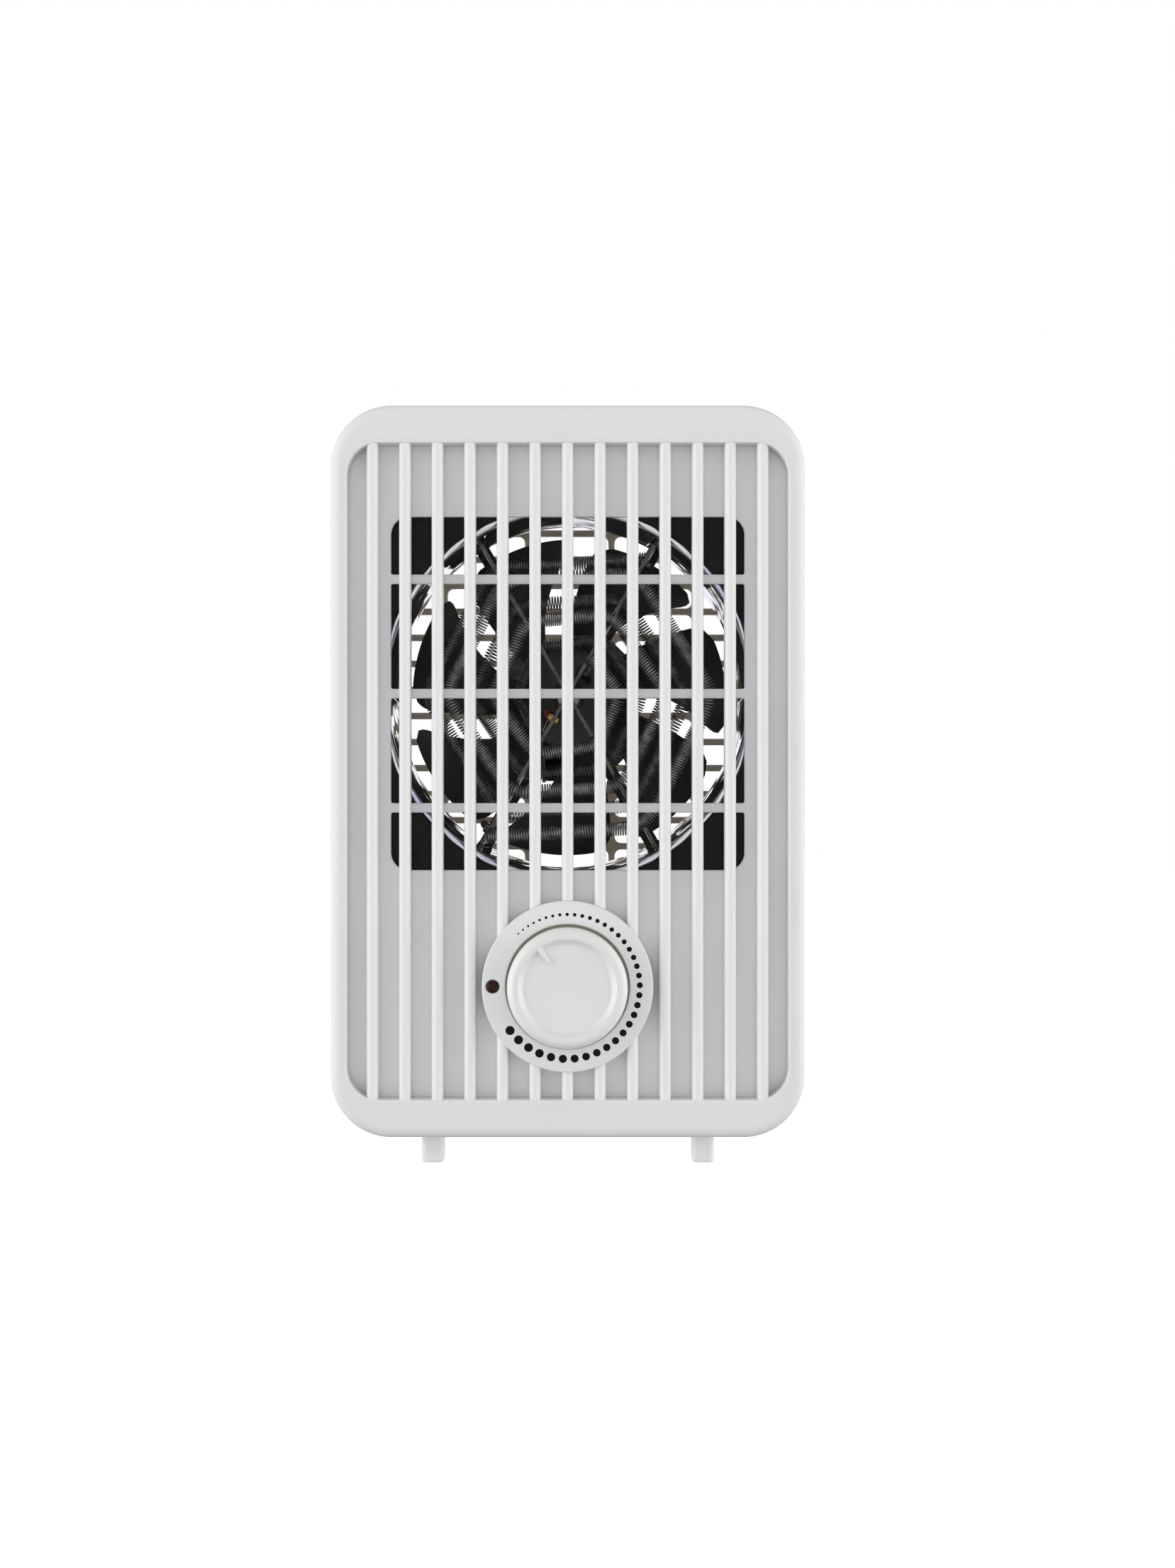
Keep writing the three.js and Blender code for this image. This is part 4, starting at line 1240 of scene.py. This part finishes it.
def motor_winding():
    """Enamelled wire wound side by side round the yoke, between two bobbin cheeks."""
    low, high = box("motor_winding")
    near, far = depths("motor_winding")
    middle = Vector(((near + far) / 2, (low.z + high.z) / 2))
    outer = Vector(((far - near) / 2, (high.z - low.z) / 2))
    full = outer - Vector((0.5, 0.5))
    yoke = Vector((8.5, 4.0))
    cheek = 1.1
    wire = 0.46
    groove = 0.98  # how much of a wire's half round shows between it and the next
    corner, cheek_corner, yoke_corner = 3.4, 2.0, 0.5
    start = low.x + cheek
    count = int((high.x - low.x - 2 * cheek) / wire)
    end = start + count * wire

    def ring(solid, x, half, soft):
        """A rounded rectangle in depth and height, from half its size."""
        loop = rounded_rect(middle.x, middle.y, 2 * half.x, 2 * half.y, soft, steps=5)()
        return solid.raw([(x, front_y + behind_front, z) for behind_front, z in loop])

    wires = Solid()
    rings = []
    for k in range(count):
        for share in (0.0, 0.2, 0.5, 0.8):
            inset = wire / 2 * (1 - math.sqrt(1 - min(abs(2 * share - 1), groove) ** 2))
            size = full - Vector((inset, inset))
            rings.append(ring(wires, start + (k + share) * wire, size, corner))
    rings.append(ring(wires, end, full - Vector((0.2, 0.2)), corner))
    rings += [ring(wires, x, yoke, yoke_corner) for x in (end, start)]
    wires.strips(rings, closed=True)
    piece("winding_wire", wires, "copper", stands_for=["motor_winding"], sharp=60)
    cheeks = Solid()
    for x in (low.x, high.x - cheek):
        rings = [ring(cheeks, at, outer, cheek_corner) for at in (x, x + cheek)]
        rings += [ring(cheeks, at, yoke, yoke_corner) for at in (x + cheek, x)]
        cheeks.strips(rings, closed=True)
    piece("winding_cheeks", cheeks, "nylon")
    tape = Solid()
    wrap = rounded_rect(0, middle.y, high.x - low.x - 2 * cheek - 0.2, high.z - low.z - 1, 1.0)
    plate(tape, wrap, [], near + 0.05, near + 0.4, near_round=0.1)
    piece("winding_tape", tape, "black_plastic")


def board_terminals():
    """The rivets that hold the coils' ends on the boards, with their tails and leads."""
    eyelet, rivets, tails, red_lead, grey_leads = (Solid() for _ in range(5))
    profile = [(-2.3, 0.9), (-2.2, 1.5), (-1.7, 1.75), (-0.7, 1.8), (-0.7, 1.0), (0.7, 1.0),
               (0.7, 1.8), (1.5, 1.75), (1.9, 1.4), (2.0, 0.8)]  # across the board, and radius
    # The board's angle, then how far out and how deep the rivet and the coil's end are.
    for degrees, reach, behind_front, coil_reach, coil_depth in [
        (240, 9.8, 21.0, 15.4, 19.5), (60, 9.8, 41.0, 15.4, 42.5),
        (240, 54.5, 24.5, 54.0, 21.6), (60, 54.5, 37.5, 54.0, 40.4),
    ]:

        def place(out, across, back=0.0, angle=math.radians(degrees), at=(reach, behind_front)):
            """A place so far out from the rivet, across the board and behind the rivet."""
            [(x, z)] = laid_at([(at[0] + out, across)], angle, 0, fan_z)
            return (x, at[1] + back, z)

        first = not eyelet.points
        tube(eyelet if first else rivets, [place(0, across) for across, _ in profile],
             [radius for _, radius in profile])
        tube(tails, [place(coil_reach - reach, -1.2, coil_depth - behind_front),
                     place(1.5, -1.7, -0.2), place(0, -1.5)], [WIRE_RADIUS] * 3, sides=8)
        tube(red_lead if first else grey_leads,
             [place(0, -2.2), place(-0.6, -3.0, 1.5), place(-0.8, -3.2, 4), place(-0.8, -3.2, 11)],
             [0.9, 1.15, 1.15, 1.15], sides=12)
    piece("brass_eyelet", eyelet, "brass", sharp=40)
    piece("board_rivets", rivets, "zinc_steel", LOOKS["core_steel"], sharp=40)
    piece("coil_tails", tails, "nichrome")
    piece("red_lead", red_lead, "red_sleeve")
    piece("grey_leads", grey_leads, "nylon", LEAD_GREY)


# ---- Screws and the gland ----


def screw(name, head_radius):
    """A pan-headed screw that points forwards, with a cross recess in its head."""
    x, z = axis_of(name)
    tip, top = depths(name)
    seat = top - 2.0
    shank = 1.2
    thread, thread_depth = 0.9, 0.22
    profile = [(0, tip), (shank * 0.4, tip + 0.9)]
    behind_front = tip + 1.6
    while behind_front < seat - 1.5:
        profile += [(shank - thread_depth, behind_front), (shank, behind_front + thread / 2)]
        behind_front += thread
    profile += [(shank, seat - 0.8), (shank, seat)]
    profile += filleted([(head_radius, seat, 0), (head_radius, seat + 0.7, 0),
                         (head_radius - 0.35, seat + 1.45, 0.8), (0, top, 0)],
                        closed=False, steps=5)
    solid = Solid()
    lathe(solid, x, z, profile, segments=32)
    head = object_from(name + "_turned", solid, sharp=40)
    cutters = []
    for angle in (0, math.pi / 2):
        slot = Solid()
        slot.capped([slot.ring(bar(-reach, reach, half, angle, x, z), at)
                     for reach, half, at in [(0.9, 0.25, top - 1.3), (1.75, 0.42, top + 0.5)]])
        cutters.append(object_from(f"{name}_recess_{len(cutters)}", slot))
    piece(name + "_turned", carved(head, cutters), "zinc_steel", stands_for=[name])


def gland():
    """The sleeve that the mains lead comes out of, with a flange inside the casing."""
    x, z = axis_of("cord_gland")
    near, far = depths("cord_gland")
    bore, mouth = 3.6, 5.0
    flange_inner, flange = 5.5, 8.0
    flange_far = body_depth - WALL - GAP
    flange_near = flange_far - 2
    solid = Solid()
    lathe(solid, x, z, filleted([
        (bore, near, 0.4), (mouth, near, 0.5), (GLAND_RADIUS, near + 3, 0.4),
        (GLAND_RADIUS, far, 0.8), (bore, far, 0.8),
    ], steps=4), closed=True, segments=48)
    lathe(solid, x, z, filleted([
        (flange_inner, flange_near, 0), (flange, flange_near, 0.4), (flange, flange_far, 0.4),
        (flange_inner, flange_far, 0),
    ], steps=3), closed=True, segments=48)
    piece("gland_moulding", solid, "black_plastic", stands_for=["cord_gland"])


# ---- The object ----

front_moulding()
rear_moulding()
feet()
grille_rim()
grille_slats()
panel_moulding()
dial_moulding()
dial_dots()
indicator()
knob_moulding()
sleeve()
baffle_moulding()
wound_coil("front_coil_wire", "front_coil", *FRONT_COIL, phase=0.4)
wound_coil("rear_coil_wire", "rear_coil", *REAR_COIL, phase=1.9)
board_terminals()
impeller()
shroud()
motor_core()
motor_winding()
for index in range(1, 5):
    screw(f"rear_screw_{index}", 3.3)
for index in range(1, 3):
    screw(f"motor_screw_{index}", 2.7)
gland()

# The CAD nodes have the looks of their slots, so those that still show match the pieces.
for entry in frame["record"]["subparts"]:
    for held in frame["nodes"][entry["node"]].material_slots:
        held.material = LOOKS[entry["material_slot"]]


# ---- Studio ----


def floor():
    """A wide pale floor that glows a little, and throws no light back on the object."""
    half = 3000.0
    solid = Solid()
    solid.face(solid.raw([(-half, -half, 0), (half, -half, 0), (half, half, 0), (-half, half, 0)]))
    obj = object_from("floor", solid)
    look = Shader("floor")
    look.colour(look.noise(400), [(0.3, (0.80, 0.80, 0.80)), (0.7, (0.84, 0.84, 0.84))])
    look.set(roughness=0.9, glow=(1, 1, 1, 1), glow_strength=0.8)
    obj.data.materials.append(look.material)
    obj.visible_diffuse = False
    obj.visible_glossy = False


def soft_box(name, place, aim, size, watts):
    """A lit rectangle at a place, turned towards its aim. These lengths are metres."""
    light = bpy.data.lights.new(name, "AREA")
    light.shape = "RECTANGLE"
    light.size, light.size_y = size
    light.energy = watts
    obj = bpy.data.objects.new(name, light)
    obj.location = place
    obj.rotation_euler = (Vector(aim) - Vector(place)).to_track_quat("-Z", "Y").to_euler()
    bpy.context.scene.collection.objects.link(obj)


def world():
    """White light from all round: brightest from the sides, and dim from above and below.

    It is dimmer from straight ahead and from behind than from the sides, and the camera sees it
    as plain white.
    """
    sky = bpy.data.worlds.new("studio")
    sky.use_nodes = True
    nodes = sky.node_tree.nodes
    links = sky.node_tree.links
    direction = nodes.new("ShaderNodeTexCoord")
    parts = nodes.new("ShaderNodeSeparateXYZ")
    links.new(direction.outputs["Generated"], parts.inputs["Vector"])
    strength = spread(nodes, links, parts.outputs["Y"], (-1.0, -0.1), (0.72, 2.45))
    for axis, at, to in [("Y", (-0.1, 0.35), (1.0, 0.42)), ("Z", (0.12, 0.85), (1.0, 0.2)),
                         ("Z", (-0.85, -0.12), (0.1, 1.0))]:
        both = nodes.new("ShaderNodeMath")
        both.operation = "MULTIPLY"
        links.new(strength, both.inputs[0])
        links.new(spread(nodes, links, parts.outputs[axis], at, to), both.inputs[1])
        strength = both.outputs["Value"]
    seen = nodes.new("ShaderNodeLightPath")
    mix = nodes.new("ShaderNodeMix")
    mix.data_type = "FLOAT"
    links.new(seen.outputs["Is Camera Ray"], mix.inputs["Factor"])
    links.new(strength, mix.inputs["A"])
    mix.inputs["B"].default_value = 1.0
    background = nodes["Background"]
    links.new(mix.outputs["Result"], background.inputs["Strength"])
    background.inputs["Color"].default_value = (1, 1, 1, 1)
    bpy.context.scene.world = sky


def camera():
    """A level view of the front from 0.9 m away, a little to the right of the middle."""
    away = 900.0
    frame_height = 534.2
    x, z = 6.8, 130.7
    view = bpy.data.cameras.new("camera")
    view.sensor_fit = "VERTICAL"
    view.sensor_height = 36.0
    view.lens = view.sensor_height * away / frame_height
    obj = bpy.data.objects.new("camera", view)
    obj.location = Vector((x, front_y - away, z)) * MM
    obj.rotation_euler = (math.pi / 2, 0, 0)
    bpy.context.scene.collection.objects.link(obj)
    bpy.context.scene.camera = obj


floor()
soft_box("left", (-0.95, -0.8, 0.35), aim=(0, 0, 0.15), size=(0.8, 1.2), watts=2.5)
soft_box("right", (1.1, -0.35, 0.45), aim=(0, 0, 0.15), size=(0.8, 1.2), watts=1.0)
soft_box("top", (0, -0.3, 1.3), aim=(0, 0, 0.1), size=(1.2, 0.8), watts=0.3)
world()
camera()
bpy.context.scene.view_settings.view_transform = "Standard"
